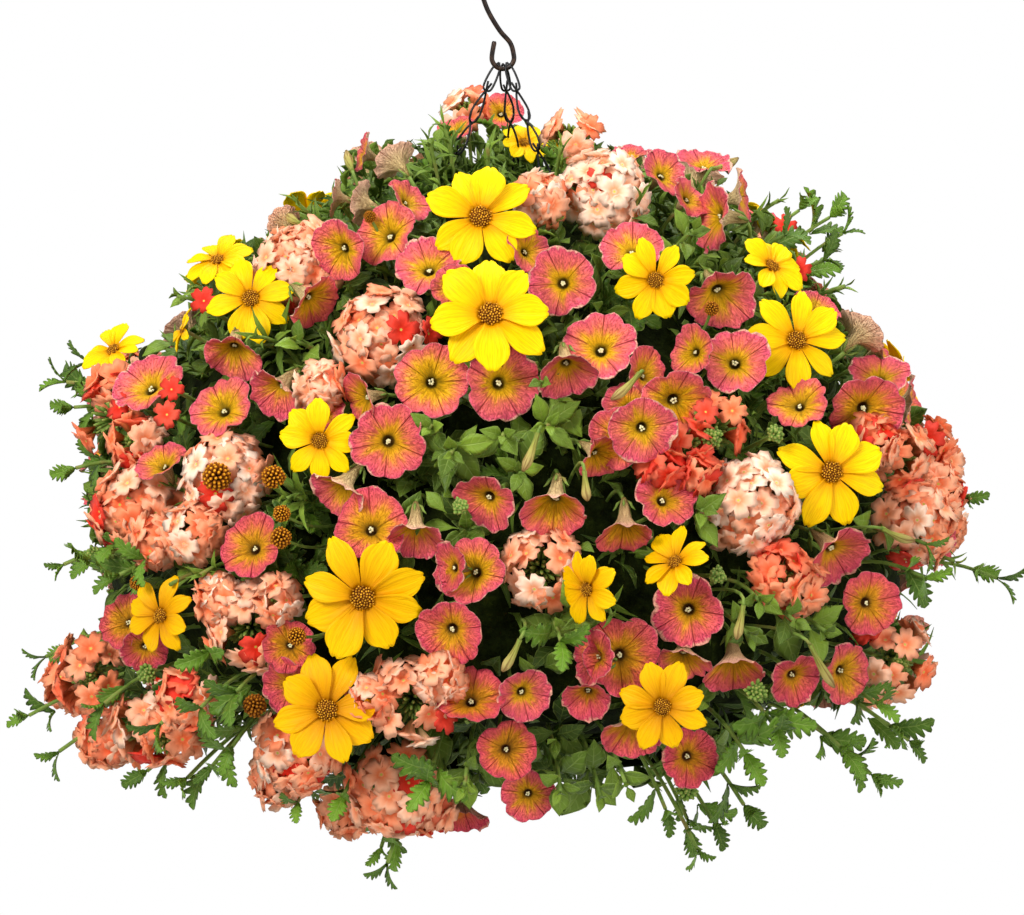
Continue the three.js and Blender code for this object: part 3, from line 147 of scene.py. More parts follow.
floor_material, _, floor_shader = new_material("pale floor", Roughness=0.9, Specular_IOR_Level=0.1)
floor_shader.inputs["Base Color"].default_value = colour(FLOOR_COLOUR)
floor_turns = np.linspace(0.0, 2 * math.pi, FLOOR_SIDES, endpoint=False)
floor_corners = np.stack([
    FLOOR_RADIUS * np.cos(floor_turns),
    FLOOR_RADIUS * np.sin(floor_turns),
    np.full(FLOOR_SIDES, FLOOR_Z)], axis=1)
floor_mesh = bpy.data.meshes.new("floor")
floor_mesh.from_pydata((floor_corners * MM).tolist(), [], [list(range(FLOOR_SIDES))])
floor_mesh.materials.append(floor_material)
floor = bpy.data.objects.new("floor", floor_mesh)
scene.collection.objects.link(floor)

lens = SENSOR_WIDTH * VIEW_DISTANCE / (IMAGE_WIDTH * MM_PER_PIXEL)
camera_data = bpy.data.cameras.new("camera")
camera_data.lens = lens
camera_data.sensor_width = SENSOR_WIDTH
camera_data.clip_end = 100.0
camera = bpy.data.objects.new("camera", camera_data)
camera.location = (VIEW_EYE * MM).tolist()
camera.rotation_euler = (math.pi / 2 - VIEW_TILT, 0.0, 0.0)
scene.collection.objects.link(camera)
scene.camera = camera

# ---------------------------------------------------------------- the hook
# One S of brown coated steel wire, bent cold, so it keeps one thickness from end to end. Its upper crook
# hangs on the support, and the chains' top links hang in the lower one.

HOOK_WIRE = 3.0
CROOK_CENTRE = np.array((-1.2, 0.0, -71.0))
CROOK_RADIUS = 6.8
UPPER_CROOK = [(15, -22), (16, -12), (11, -2), (0, HOOK_WIRE / 2), (-11, -2.5), (-15.5, -13), (-15, -27),
               (-11, -41), (-3.5, -54), (3.2, -62)]
LOWER_CROOK = (15, -189, 7)  # from and to in degrees round its centre, and the count of points
HOOK_TIP = (-6.4, -61)
HOOK_STEPS = 160


def unit(vectors):
    """Vectors made one long."""
    return vectors / np.linalg.norm(vectors, axis=-1, keepdims=True)


def smooth_path(points, steps):
    """A Catmull-Rom curve through the points: each stretch is a cubic of its four nearest points."""
    points = np.asarray(points, float)
    ends = np.concatenate([points[:1] * 2 - points[1:2], points, points[-1:] * 2 - points[-2:-1]])
    share = np.linspace(0, len(points) - 1, steps)
    index = np.minimum(share.astype(int), len(points) - 2)
    t = (share - index)[:, None]
    a, b, c, d = (ends[index + shift] for shift in range(4))
    return 0.5 * (2 * b + (c - a) * t + (2 * a - 5 * b + 4 * c - d) * t**2 + (3 * b - a - 3 * c + d) * t**3)


def tubes(paths, radii, sides):
    """Round tubes along paths (copies, steps, 3): rings square to the path, closed by a point at each end."""
    paths = np.asarray(paths, float)
    radii = np.broadcast_to(radii, paths.shape[:2])
    along = unit(np.gradient(paths, axis=1))
    helper = np.where(np.abs(along[:, :1, 2:]) > 0.9, (1.0, 0.13, 0.0), (0.11, 0.07, 1.0))
    side = unit(np.cross(helper, along))
    up = np.cross(along, side)
    angle = np.linspace(0, 2 * math.pi, sides, endpoint=False)[None, None, :, None]
    around = np.cos(angle) * side[:, :, None] + np.sin(angle) * up[:, :, None]
    rings = paths[:, :, None] + around * radii[:, :, None, None]
    cap = np.broadcast_to(paths[:, :, None], rings.shape)
    return np.concatenate([cap[:, :1], rings, cap[:, -1:]], axis=1)


def surface(points, material, wraps=False, tone=None):
    """Grids of points (copies, rows, columns, 3) as quads. UV runs across the columns and along the rows, and
    `tone` is four numbers for each copy that the material may read."""
    copies, rows, columns = points.shape[:3]
    across = columns if wraps else columns - 1
    row, column = np.meshgrid(np.arange(rows - 1), np.arange(across), indexing="ij")
    steps = [(0, 0), (0, 1), (1, 1), (1, 0)]
    corner = [(row + down) * columns + (column + right) % columns for down, right in steps]
    quads = np.stack(corner, axis=-1).reshape(1, -1, 4)
    quads = quads + np.arange(copies)[:, None, None] * rows * columns
    uv = [np.stack([(column + right) / across, (row + down) / (rows - 1)], axis=-1) for down, right in steps]
    uv = np.broadcast_to(np.stack(uv, axis=2).reshape(1, -1, 4, 2), (copies, quads.shape[1], 4, 2))
    tone = np.ones((copies, 4)) if tone is None else np.asarray(tone, float)
    tone = np.repeat(tone, rows * columns, axis=0)
    return {"points": points.reshape(-1, 3), "quads": quads.reshape(-1, 4), "uv": uv.reshape(-1, 2),
            "tone": tone, "material": material}


def add_piece(name, surfaces, nodes=(), thickness=0.0, smooth=True):
    """One finished piece from its surfaces: equal points are merged, so seams and poles close, faces point
    outwards, and a sheet gets its thickness in millimetres."""
    counts = np.cumsum([0] + [len(one["points"]) for one in surfaces])
    points = np.concatenate([one["points"] for one in surfaces]) * MM
    quads = np.concatenate([one["quads"] + start for one, start in zip(surfaces, counts)])
    materials = list(dict.fromkeys(one["material"] for one in surfaces))
    material_index = np.repeat([materials.index(one["material"]) for one in surfaces],
                               [len(one["quads"]) for one in surfaces])
    mesh = bpy.data.meshes.new(name)
    mesh.vertices.add(len(points))
    mesh.vertices.foreach_set("co", points.ravel())
    mesh.loops.add(quads.size)
    mesh.loops.foreach_set("vertex_index", quads.ravel())
    mesh.polygons.add(len(quads))
    mesh.polygons.foreach_set("loop_start", np.arange(len(quads)) * 4)
    mesh.polygons.foreach_set("material_index", material_index)
    mesh.polygons.foreach_set("use_smooth", np.full(len(quads), smooth))
    uv_layer = mesh.uv_layers.new(name="UVMap")
    uv_layer.data.foreach_set("uv", np.concatenate([one["uv"] for one in surfaces]).ravel())
    tone = mesh.attributes.new("tone", "FLOAT_COLOR", "POINT")
    tone.data.foreach_set("color", np.concatenate([one["tone"] for one in surfaces]).ravel())
    for material in materials:
        mesh.materials.append(material)
    mesh.update(calc_edges=True)
    shape = bmesh.new()
    shape.from_mesh(mesh)
    bmesh.ops.remove_doubles(shape, verts=shape.verts, dist=2e-6)
    bmesh.ops.dissolve_degenerate(shape, edges=shape.edges, dist=1e-6)
    bmesh.ops.recalc_face_normals(shape, faces=shape.faces)
    shape.to_mesh(mesh)
    shape.free()
    piece = bpy.data.objects.new(name, mesh)
    scene.collection.objects.link(piece)
    if thickness:
        wall = piece.modifiers.new("thickness", "SOLIDIFY")
        wall.thickness = thickness * MM
        wall.offset = 0.0
        wall.use_rim = True
    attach(piece, "root")
    if nodes:
        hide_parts(*nodes)
    return piece


def feed(tree, shader, **sockets):
    """Links sockets to the shader's inputs."""
    for key, socket in sockets.items():
        tree.links.new(socket, shader.inputs[key.replace("_", " ")])


def object_place(tree):
    """Where a point is on its piece."""
    return add_node(tree, "ShaderNodeTexCoord").outputs["Object"]


def bumped(tree, height, strength, distance):
    """A normal from a height, with `distance` in millimetres."""
    inputs = {"Height": height, "Strength": strength, "Distance": distance * MM}
    return add_node(tree, "ShaderNodeBump", inputs).outputs["Normal"]


def noise(tree, vector, scale, detail=2.0, roughness=0.5):
    """A soft noise between 0 and 1."""
    inputs = {"Vector": vector, "Scale": scale, "Detail": detail, "Roughness": roughness}
    return add_node(tree, "ShaderNodeTexNoise", inputs).outputs["Fac"]


def worn_coat(name, body, worn, roughness, metallic):
    """Coated wire: its colour goes towards a worn one in small spots, with a fine orange-peel bump."""
    material, tree, shader = new_material(name, Metallic=metallic)
    place = object_place(tree)
    spots = noise(tree, place, 260.0, 4.0)
    peel = noise(tree, place, 900.0)
    feed(tree, shader, Base_Color=ramp(tree, spots, [(0.45, body), (0.72, worn)]),
         Roughness=maths(tree, "MULTIPLY_ADD", spots, 0.3, roughness - 0.15),
         Normal=bumped(tree, peel, 0.25, 0.3))
    return material


crook_angles = np.radians(np.linspace(*LOWER_CROOK))
crook_turn = np.stack([np.cos(crook_angles), crook_angles * 0, np.sin(crook_angles)], axis=1)
hook_points = np.array([(x, 0, z) for x, z in UPPER_CROOK])
hook_points = np.concatenate([hook_points, CROOK_CENTRE + crook_turn * CROOK_RADIUS,
                              [(HOOK_TIP[0], 0, HOOK_TIP[1])]])
hook_path = smooth_path(hook_points, HOOK_STEPS)[None]
hook_radii = np.full(HOOK_STEPS, HOOK_WIRE / 2)
hook_radii[[0, -1]] *= 0.72  # the cut ends are a little rounded
hook_coat = worn_coat("brown_hook_coat", "1f1510", "4a3526", 0.38, 0.55)
hook_surface = surface(tubes(hook_path, hook_radii[None], 14), hook_coat, wraps=True)
add_piece("s_hook", [hook_surface], ["hook"])

# ---------------------------------------------------------------- the chains
# Three strands of black steel wire links. Each link is a drop-shaped loop whose two ends cross at the top,
# hook round the link above and stand off as short stubs. A strand ends in a ring through the pot's rim.

LINK_WIRE = 2.0
LINK_PITCH = 21.0
LINK_WIDTH = 8.0
CROOK_CLEARANCE = 0.6
POT_RIM_Z = -348.0
POT_RIM_RADIUS = 130.0
RIM_FLANGE = 7.0
RIM_THICKNESS = 3.0
RIM_RING_RADIUS = 5.0
RIM_RING_CENTRE = POT_RIM_RADIUS + RIM_FLANGE - 1.5
CHAINS = {"chain_left": (196, -128), "chain_rear": (76, -90), "chain_right": (316, -52)}
# One link as (across, along, off its plane), in shares of its width, its pitch and its wire.
LINK_FORM = [
    (0.34, -0.16, 0.9), (0.2, 0.0, 0.9), (0.02, 0.12, 0.5), (-0.22, 0.3, 0.0), (-0.46, 0.62, 0),
    (-0.5, 0.84, 0), (-0.34, 1.02, 0), (0, 1.08, 0), (0.34, 1.02, 0), (0.5, 0.84, 0), (0.46, 0.62, 0),
    (0.22, 0.3, 0.0), (-0.02, 0.12, -0.5), (-0.2, 0.0, -0.9), (-0.34, -0.16, -0.9)]
# The top link as (across, up) in shares of its width and of the way from the strand to the hook.
TOP_LINK_FORM = [
    (0, 1), (0.26, 0.75), (0.36, 0.3), (0.3, -0.05), (0, -0.12), (-0.3, -0.05), (-0.36, 0.3), (-0.26, 0.75),
    (0, 1)]
TOP_LINK_SHARE = 0.8  # the top link's length as a share of the pitch
LINK_TUBE = LINK_WIRE * 0.35  # the radius that a link's wire is seen with

chain_coat = worn_coat("black_chain_coat", "0b0b0c", "2c2b2a", 0.42, 0.45)
for chain_name, (azimuth, crook_angle) in CHAINS.items():
    angle, crook = math.radians(azimuth), math.radians(crook_angle)
    inside = CROOK_RADIUS - HOOK_WIRE / 2 - LINK_WIRE / 2 - CROOK_CLEARANCE
    top = CROOK_CENTRE + inside * np.array((math.cos(crook), 0, math.sin(crook)))
    radial = np.array((math.cos(angle), math.sin(angle), 0.0))
    ring_centre = radial * RIM_RING_CENTRE + (0, 0, POT_RIM_Z - RIM_THICKNESS / 2)
    bottom = ring_centre + (0, 0, RIM_RING_RADIUS + LINK_WIRE)
    along = unit(bottom - top)
    start = top + along * LINK_PITCH * TOP_LINK_SHARE
    count = int(round(np.linalg.norm(bottom - start) / LINK_PITCH))
    starts = start + (bottom - start) * (np.arange(count) / count)[:, None]
    pitch = np.linalg.norm(bottom - start) / count
    depth = np.array((0.0, 1.0, 0.0))
    first = unit(depth - along * np.dot(depth, along))
    second = np.cross(along, first)
    turn = (np.arange(count) * (math.pi / 2) + math.pi / 4)[:, None]
    across = np.cos(turn) * first + np.sin(turn) * second
    off = np.cross(across, along)
    form = smooth_path(LINK_FORM, 44)
    links = (starts[:, None] + form[None, :, :1] * LINK_WIDTH * across[:, None]
             + form[None, :, 1:2] * pitch * along + form[None, :, 2:] * LINK_WIRE * 0.5 * off[:, None])
    strand = [surface(tubes(links, LINK_TUBE, 7), chain_coat, wraps=True)]
    away = unit(np.cross(depth, along))
    top_link = np.array([start + away * x * LINK_WIDTH + (top - start) * y for x, y in TOP_LINK_FORM])
    ring_turn = np.linspace(0, 2 * math.pi, 9)
    ring = (ring_centre + np.cos(ring_turn)[:, None] * radial * RIM_RING_RADIUS
            + np.sin(ring_turn)[:, None] * np.array((0, 0, RIM_RING_RADIUS)))
    for loop in (top_link, ring):
        strand.append(surface(tubes(smooth_path(loop, 40)[None], LINK_TUBE, 8), chain_coat, wraps=True))
    add_piece(f"{chain_name}_links", strand, [chain_name])


# ---------------------------------------------------------------- the pot and its soil
# A round pot of dark moulded plastic with a flanged rim and drain holes, filled with potting soil.
# The plants hide it from everywhere but below.

POT_HEIGHT = 150.0
POT_BASE_Z = POT_RIM_Z - POT_HEIGHT
POT_BASE_RADIUS = 95.0
POT_WALL = 3.0
SOIL_BELOW_RIM = 14.0
SOIL_CROWN = 4.0
POT_SIDES = 72
SOIL_SIDES = 48
# Each hole is its distance from the axis, its angle, its radius, and the height and depth of its cut.
DRAIN_HOLES = [(62.0, 90 * index + 45, 5.0, POT_BASE_Z, 12.0) for index in range(4)]
RIM_HOLES = [(RIM_RING_CENTRE, azimuth, 2.2, POT_RIM_Z - RIM_THICKNESS, 20.0)
             for azimuth, _ in CHAINS.values()]


def turned(profile, sides):
    """A profile of (radius, z) turned about the axis."""
    profile = np.asarray(profile, float)
    angle = np.linspace(0, 2 * math.pi, sides, endpoint=False)
    radius = profile[:, :1] * np.ones(sides)
    flat = np.stack([np.cos(angle) * radius, np.sin(angle) * radius], axis=-1)
    return np.concatenate([flat, np.broadcast_to(profile[:, None, 1:], (*radius.shape, 1))], axis=-1)[None]


def finer(profile, steps):
    """A profile with `steps` points on each of its lines."""
    profile = np.asarray(profile, float)
    share = np.linspace(0, 1, steps, endpoint=False)[None, :, None]
    inner = profile[:-1, None] + (profile[1:, None] - profile[:-1, None]) * share
    return np.concatenate([inner.reshape(-1, 2), profile[-1:]])


pot_material, pot_tree, pot_shader = new_material("moulded_pot", Roughness=0.55)
pot_place = object_place(pot_tree)
pot_dust = noise(pot_tree, pot_place, 40.0, 5.0, 0.7)
pot_grain = noise(pot_tree, pot_place, 1400.0)
feed(pot_tree, pot_shader, Base_Color=ramp(pot_tree, pot_dust, [(0.4, "1c1b19"), (0.75, "3a3630")]),
     Normal=bumped(pot_tree, pot_grain, 0.3, 0.3))
pot_floor = POT_BASE_Z + POT_WALL
under_rim = POT_RIM_Z - RIM_THICKNESS
base_inner = POT_BASE_RADIUS - POT_WALL
flange_radius = POT_RIM_RADIUS + RIM_FLANGE
pot_profile = [
    (0, POT_BASE_Z), (POT_BASE_RADIUS - 2, POT_BASE_Z), (POT_BASE_RADIUS, POT_BASE_Z + 2),
    (POT_RIM_RADIUS - 0.7, under_rim), (flange_radius - 0.6, under_rim), (flange_radius, under_rim + 0.8),
    (flange_radius, POT_RIM_Z - 0.8), (flange_radius - 0.6, POT_RIM_Z),
    (POT_RIM_RADIUS - POT_WALL, POT_RIM_Z), (base_inner, pot_floor), (0, pot_floor)]
pot_surface = surface(turned(pot_profile, POT_SIDES), pot_material, wraps=True)
pot = add_piece("pot_shell", [pot_surface], ["pot"], smooth=False)
pot_holes = bmesh.new()
for distance, azimuth, hole_radius, z, depth in DRAIN_HOLES + RIM_HOLES:
    turn = math.radians(azimuth)
    place = (distance * math.cos(turn) * MM, distance * math.sin(turn) * MM, z * MM)
    bmesh.ops.create_cone(
        pot_holes, cap_ends=True, segments=20, radius1=hole_radius * MM, radius2=hole_radius * MM,
        depth=depth * MM, matrix=Matrix.Translation(place))
holes_mesh = bpy.data.meshes.new("pot_holes")
pot_holes.to_mesh(holes_mesh)
pot_holes.free()
cutter = bpy.data.objects.new("pot_holes", holes_mesh)
scene.collection.objects.link(cutter)
cut = pot.modifiers.new("holes", "BOOLEAN")
cut.object = cutter
cut.operation = "DIFFERENCE"
bored = bpy.data.meshes.new_from_object(pot.evaluated_get(bpy.context.evaluated_depsgraph_get()))
pot.modifiers.clear()
pot.data = bored
bpy.data.objects.remove(cutter)

soil_material, soil_tree, soil_shader = new_material("potting_soil", Roughness=0.95)
soil_place = object_place(soil_tree)
soil_lumps = noise(soil_tree, soil_place, 120.0, 6.0, 0.7)
soil_colour = ramp(soil_tree, soil_lumps, [(0.35, "1a120c"), (0.55, "33241a"), (0.75, "5a4634")])
feed(soil_tree, soil_shader, Base_Color=soil_colour, Normal=bumped(soil_tree, soil_lumps, 0.9, 3.0))
soil_top = POT_RIM_Z - SOIL_BELOW_RIM
soil_edge = POT_RIM_RADIUS - POT_WALL - 4.0
soil_floor = pot_floor + 0.5
soil_profile = finer([(0, soil_floor), (base_inner - 1, soil_floor), (soil_edge, soil_top),
                      (soil_edge * 0.6, soil_top + SOIL_CROWN * 0.7), (0, soil_top + SOIL_CROWN)], 6)
soil_surface = surface(turned(soil_profile, SOIL_SIDES), soil_material, wraps=True)
add_piece("potting_soil", [soil_surface], ["soil"])

# ---------------------------------------------------------------- where the flowers stand
# The plants make a dome of growth round the pot. Every flower has its seat on that dome, by its place in the
# photograph or, on the rear half, by a seeded rule, and rises until it is clear of those placed before it.

BUSH_RADIUS = 294.0
BUSH_WAIST_Z = -381.0
BUSH_RISE = 285.0
BUSH_DROP = 149.0
RISE_POWER = 1.6
DROP_POWER = 3.0

# Each flower is [x pixel, y pixel, span in pixels, turn to the right, tip upward, extra lift in mm]. Turn and
# tip are in degrees from facing the viewer. Flowers in one list share one spray.
PETUNIAS = [
    [[393, 160, 46, -130, 35], [360, 152, 40, -80, 20], [358, 202, 44, -110, 15], [412, 198, 48, 60, 35],
     [333, 197, 38, -90, 10]],
    [[383, 232, 65, -35, 20], [336, 250, 60, -40, -15], [427, 262, 66, -10, 42], [318, 305, 58, 55, -35],
     [283, 220, 34, -140, 30]],
    [[232, 363, 62, -10, -66], [219, 405, 65, -25, 30], [272, 397, 62, -45, -42]],
    [[358, 400, 54, -62, -15], [432, 380, 72, 3, 8], [388, 441, 73, 0, 0], [322, 412, 46, -20, 20, -8]],
    [[334, 498, 66, -45, -45], [369, 524, 72, -8, 25], [415, 545, 61, 0, -72]],
    [[504, 383, 76, 20, 0], [484, 503, 63, -28, -28], [471, 570, 66, -50, 15], [447, 568, 50, -50, 0, -6],
     [454, 285, 44, 0, 0, -6]],
    [[449, 634, 66, -15, -20], [471, 694, 67, 0, 38], [525, 696, 54, 20, -20], [508, 751, 57, 10, -5],
     [528, 797, 52, 0, -15], [460, 824, 60, 0, -76]],
    [[561, 281, 66, -10, 8], [531, 249, 51, 40, 20, -6], [600, 345, 72, -5, 22], [568, 378, 64, 8, -48],
     [631, 245, 62, -8, 45, -4]],
    [[667, 171, 52, 40, 28], [631, 151, 40, 0, 65], [705, 158, 54, 20, 70], [708, 216, 70, -70, 0],
     [747, 195, 53, 78, 12], [692, 196, 44, 50, 30, -6]],
    [[724, 303, 73, 22, -42], [735, 358, 68, -3, 22], [650, 372, 54, 50, 20], [690, 350, 50, -60, 12],
     [678, 405, 73, 14, -25]],
    [[645, 430, 66, 5, -20, -4], [617, 438, 60, -20, 0], [603, 460, 52, 50, -35], [629, 405, 52, 0, 20, -8],
     [667, 496, 61, 25, 25], [625, 541, 61, 0, -72], [554, 517, 71, -10, -60]],
    [[686, 612, 71, -12, -8], [624, 657, 76, 15, -5], [590, 656, 56, -50, 5], [684, 668, 58, 0, -58],
     [735, 677, 66, 5, -68], [586, 703, 52, -15, -52]],
    [[630, 742, 64, -20, -66], [691, 758, 58, 18, -5]],
    [[862, 330, 53, 125, 40], [880, 372, 59, 0, 45, -6], [868, 413, 74, 15, -20], [798, 400, 58, -15, 35],
     [915, 406, 58, 80, 0], [818, 303, 50, 40, 55], [884, 347, 42, 75, 30]],
    [[842, 560, 72, 42, -38], [872, 604, 61, 25, -5], [797, 682, 56, 40, -36], [848, 674, 59, 40, -15]],
    [[145, 380, 73, -30, 42], [160, 460, 52, -35, 45], [122, 619, 56, -35, 20], [145, 650, 46, 0, -20, -6]],
    [[249, 545, 65, -25, 20], [288, 646, 52, -10, 0, -6], [287, 688, 58, -25, -8]],
    [[502, 108, 44, 10, 35, -20], [455, 126, 38, -30, 50]],
]
BIDENS = [
    [[480, 215, 110, 5, 12], [524, 143, 53, 20, 45, -12]],
    [[490, 312, 119, 0, 18]],
    [[656, 279, 82, 0, 0], [772, 266, 74, 40, 60]],
    [[250, 298, 88, -10, 15], [217, 260, 68, -10, 70], [183, 330, 48, -75, 20], [113, 350, 66, -30, 66]],
    [[319, 440, 84, -5, 0]],
    [[362, 597, 122, 0, -8], [326, 711, 107, -5, 5]],
    [[588, 589, 73, -40, -10], [676, 562, 73, -30, 30], [664, 709, 87, -5, 0]],
    [[160, 616, 79, -35, 5]],
    [[797, 340, 98, 10, 8]],
    [[832, 472, 108, 12, 5]],
]
VERBENA = [
    [[606, 185, 90]],
    [[755, 505, 100], [798, 584, 56]],
    [[290, 263, 86]],
    [[380, 330, 98]],
    [[219, 475, 90], [128, 507, 98]],
    [[103, 412, 88]],
    [[243, 628, 90], [83, 681, 84], [140, 735, 80]],
    [[292, 759, 84], [393, 801, 98]],
    [[410, 703, 90]],
    [[541, 566, 80]],
    [[715, 428, 78]],
    [[905, 455, 66], [925, 522, 86], [901, 662, 84]],
    [[572, 130, 56]],
]
REAR_ROWS = [(-165, 4), (-220, 5), (-276, 6), (-334, 7), (-392, 7), (-448, 6), (-496, 4)]  # height and count
REAR_SEED = 20417
REAR_START = 97
REAR_SWEEP = 166
REAR_SWAY = 0.9
REAR_SPRAYS = {"verbena": 3, "petunia": 5, "bidens": 3}
REAR_SPANS = {"verbena": 88, "petunia": 66, "bidens": 100}
LIFTS = {"verbena": -6.0, "petunia": 0.0, "bidens": 8.0}
PETUNIA_THROAT = 0.42
PETUNIA_DEPTH = 1.05
HEAD_HEART = 0.55  # how far a verbena head's middle lies behind its centre, as a share of its radius
CLEAR_MARGIN = 1.3
LIFT_STEP = 2.5
LIFT_LIMIT = 16
# Rings of points on each kind of flower, as outward and forward shares of its radius, and a count.
PROBES = {
    "petunia": [(1, 0, 12), (0.8, -0.1, 10), (0.6, -0.2, 8), (0.35, -0.36, 6), (0.1, -0.6, 3),
                (0.02, -0.8, 2), (0, -1.02, 1)],
    "bidens": [(1, -0.06, 16), (0.75, -0.04, 12), (0.5, -0.03, 8), (0.2, 0.05, 5), (0, -0.1, 1)],
    "verbena": [(0.95, -0.35, 12), (0.75, 0, 10), (0.4, 0.3, 6), (0, 0.4, 1), (0.7, -0.9, 8),
                (0.3, -1.1, 4)],
}


def bush_share(points, inset=0.0):
    """Below one inside the dome and above one outside it: the square of the distance from the axis and a
    power of the height over or under the waist, each as a share of the dome's reach."""
    points = np.asarray(points, float)
    rises = points[..., 2] > BUSH_WAIST_Z
    reach = np.where(rises, BUSH_RISE, BUSH_DROP) - inset
    across = np.hypot(points[..., 0], points[..., 1]) / (BUSH_RADIUS - inset)
    height = np.abs(points[..., 2] - BUSH_WAIST_Z) / reach
    return across**2 + height ** np.where(rises, RISE_POWER, DROP_POWER)


def bush_normal(points):
    """The dome's outward direction, from the share's slope."""
    points = np.asarray(points, float)
    steps = np.eye(3) * 0.5
    slope = [bush_share(points + step) - bush_share(points - step) for step in steps]
    return unit(np.stack(slope, axis=-1))


def bush_point(angle, z, inset=0.0):
    """The dome's point at a height and an angle from the front toward +X."""
    angle, z = np.broadcast_arrays(np.asarray(angle, float), np.asarray(z, float))
    on_axis = np.stack([z * 0, z * 0, z], axis=-1)
    radius = (BUSH_RADIUS - inset) * np.sqrt(np.clip(1 - bush_share(on_axis, inset), 0, None))
    return np.stack([np.sin(angle) * radius, -np.cos(angle) * radius, z], axis=-1)


def seen_point(x, y):
    """Where the line of sight through a pixel meets the dome, or passes nearest to it."""
    through = VIEW_TARGET + VIEW_RIGHT * (x - CENTRE_PIXEL[0]) * MM_PER_PIXEL
    through = through + VIEW_UP * (CENTRE_PIXEL[1] - y) * MM_PER_PIXEL
    reach = np.arange(VIEW_DISTANCE - BUSH_RADIUS - 40, VIEW_DISTANCE + 120)
    line = VIEW_EYE + unit(through - VIEW_EYE) * reach[:, None]
    share = bush_share(line)
    inside = np.flatnonzero(share <= 1)
    return line[inside[0]] if len(inside) else line[np.argmin(share)]


def seen_facing(turn, tip):
    """A direction turned to the right and tipped upward from facing the viewer, in degrees."""
    turn, tip = math.radians(turn), math.radians(tip)
    level = math.sin(turn) * VIEW_RIGHT - math.cos(turn) * VIEW_FORWARD
    return unit(math.cos(tip) * level + math.sin(tip) * VIEW_UP)


def frames_of(facing):
    """Sideways and upright directions of faces that look along `facing`."""
    facing = np.asarray(facing, float)
    upright = np.abs(facing[..., 2:]) > 0.95
    side = unit(np.cross(np.where(upright, (0.0, 1.0, 0.0), (0.0, 0.0, 1.0)), facing))
    return side, np.cross(facing, side)


def placed(centre, facing, local):
    """Local (sideways, upright, forward) points carried to a centre and a facing direction."""
    side, up = frames_of(facing)
    grow = (Ellipsis, *(None,) * (local.ndim - centre.ndim), slice(None))
    side, up, facing, centre = (one[grow] for one in (side, up, np.asarray(facing, float), centre))
    return centre + local[..., :1] * side + local[..., 1:2] * up + local[..., 2:] * facing


def probe_points(flower):
    """Points on a flower's outline, ribs and tube."""
    rings = []
    for outward, forward, count in PROBES[flower["kind"]]:
        angle = np.arange(count) / count * 2 * math.pi
        ring = (np.cos(angle) * outward, np.sin(angle) * outward, angle * 0 + forward)
        rings.append(np.stack(ring, axis=1))
    return placed(flower["centre"], flower["facing"], np.concatenate(rings) * flower["radius"])


def depth_inside(flower, points, margin):
    """How deep points lie in a flower, seen simply as a funnel, a disc or a ball. Above zero is inside."""
    offset = points - flower["centre"]
    forward = offset @ flower["facing"]
    outward = np.linalg.norm(offset - forward[..., None] * flower["facing"], axis=-1)
    radius = flower["radius"]
    if flower["kind"] == "verbena":
        return radius * 0.93 + margin - np.hypot(outward, forward + HEAD_HEART * radius)
    if flower["kind"] == "bidens":
        return np.minimum(radius + margin - outward, 2.5 + margin - np.abs(forward + 0.04 * radius))
    inner = -PETUNIA_THROAT * radius * (1 - outward / radius) + margin
    outer = -0.62 * radius * (1 - outward / radius) - margin
    tube = np.minimum(0.2 * radius + margin - outward, forward + PETUNIA_DEPTH * radius + margin)
    tube = np.minimum(tube, -forward)
    funnel = np.minimum(np.minimum(inner - forward, forward - outer), radius + margin - outward)
    return np.maximum(funnel, tube)


def flowers_cross(first, second):
    """Whether two flowers touch or come closer than the margin."""
    if np.linalg.norm(first["centre"] - second["centre"]) > (first["radius"] + second["radius"]) * 1.3:
        return False
    return ((depth_inside(second, first["probes"], CLEAR_MARGIN) > 0).any()
            or (depth_inside(first, second["probes"], CLEAR_MARGIN) > 0).any())


def front_flower(kind, x, y, span, turn=None, tip=0, extra=0.0):
    """A flower that the photograph shows."""
    seat = seen_point(x, y)
    normal = bush_normal(seat)
    radius = span / 2 * MM_PER_PIXEL * np.linalg.norm(seat - VIEW_EYE) / VIEW_DISTANCE
    facing = normal if turn is None else seen_facing(turn, tip)
    return {"kind": kind, "seat": seat, "normal": normal, "facing": facing, "radius": radius,
            "lift": LIFTS[kind] + extra, "pixel": (x, y)}


def random_source(seed):
    """A small repeatable random source, the same as in the part's own rule for the rear half."""
    state = seed
    while True:
        state = state * 16807 % 2147483647
        yield state / 2147483647


def rear_flowers():
    """The flowers of the rear half, row by row."""
    draw = random_source(REAR_SEED)
    flowers = []
    for row, (height, count) in enumerate(REAR_ROWS):
        for index in range(count):
            shift = 0.3 if row % 2 == 0 else 0.7
            angle = REAR_START + (index + shift) / count * REAR_SWEEP + (next(draw) - 0.5) * 5
            z = height + (next(draw) - 0.5) * 18
            place = (index * 2 + row * 3) % 11
            kind = "verbena" if place in (4, 9) else "bidens" if place == 6 else "petunia"
            seat = bush_point(math.radians(angle), z)
            sway = np.array([next(draw) - 0.5 for _ in range(3)]) * (0 if kind == "verbena" else REAR_SWAY)
            radius = REAR_SPANS[kind] / 2 * MM_PER_PIXEL * (0.85 + next(draw) * 0.2)
            normal = bush_normal(seat)
            flowers.append({"kind": kind, "seat": seat, "normal": normal, "facing": unit(normal + sway),
                            "radius": radius, "lift": LIFTS[kind], "angle": angle, "pixel": None})
    return flowers


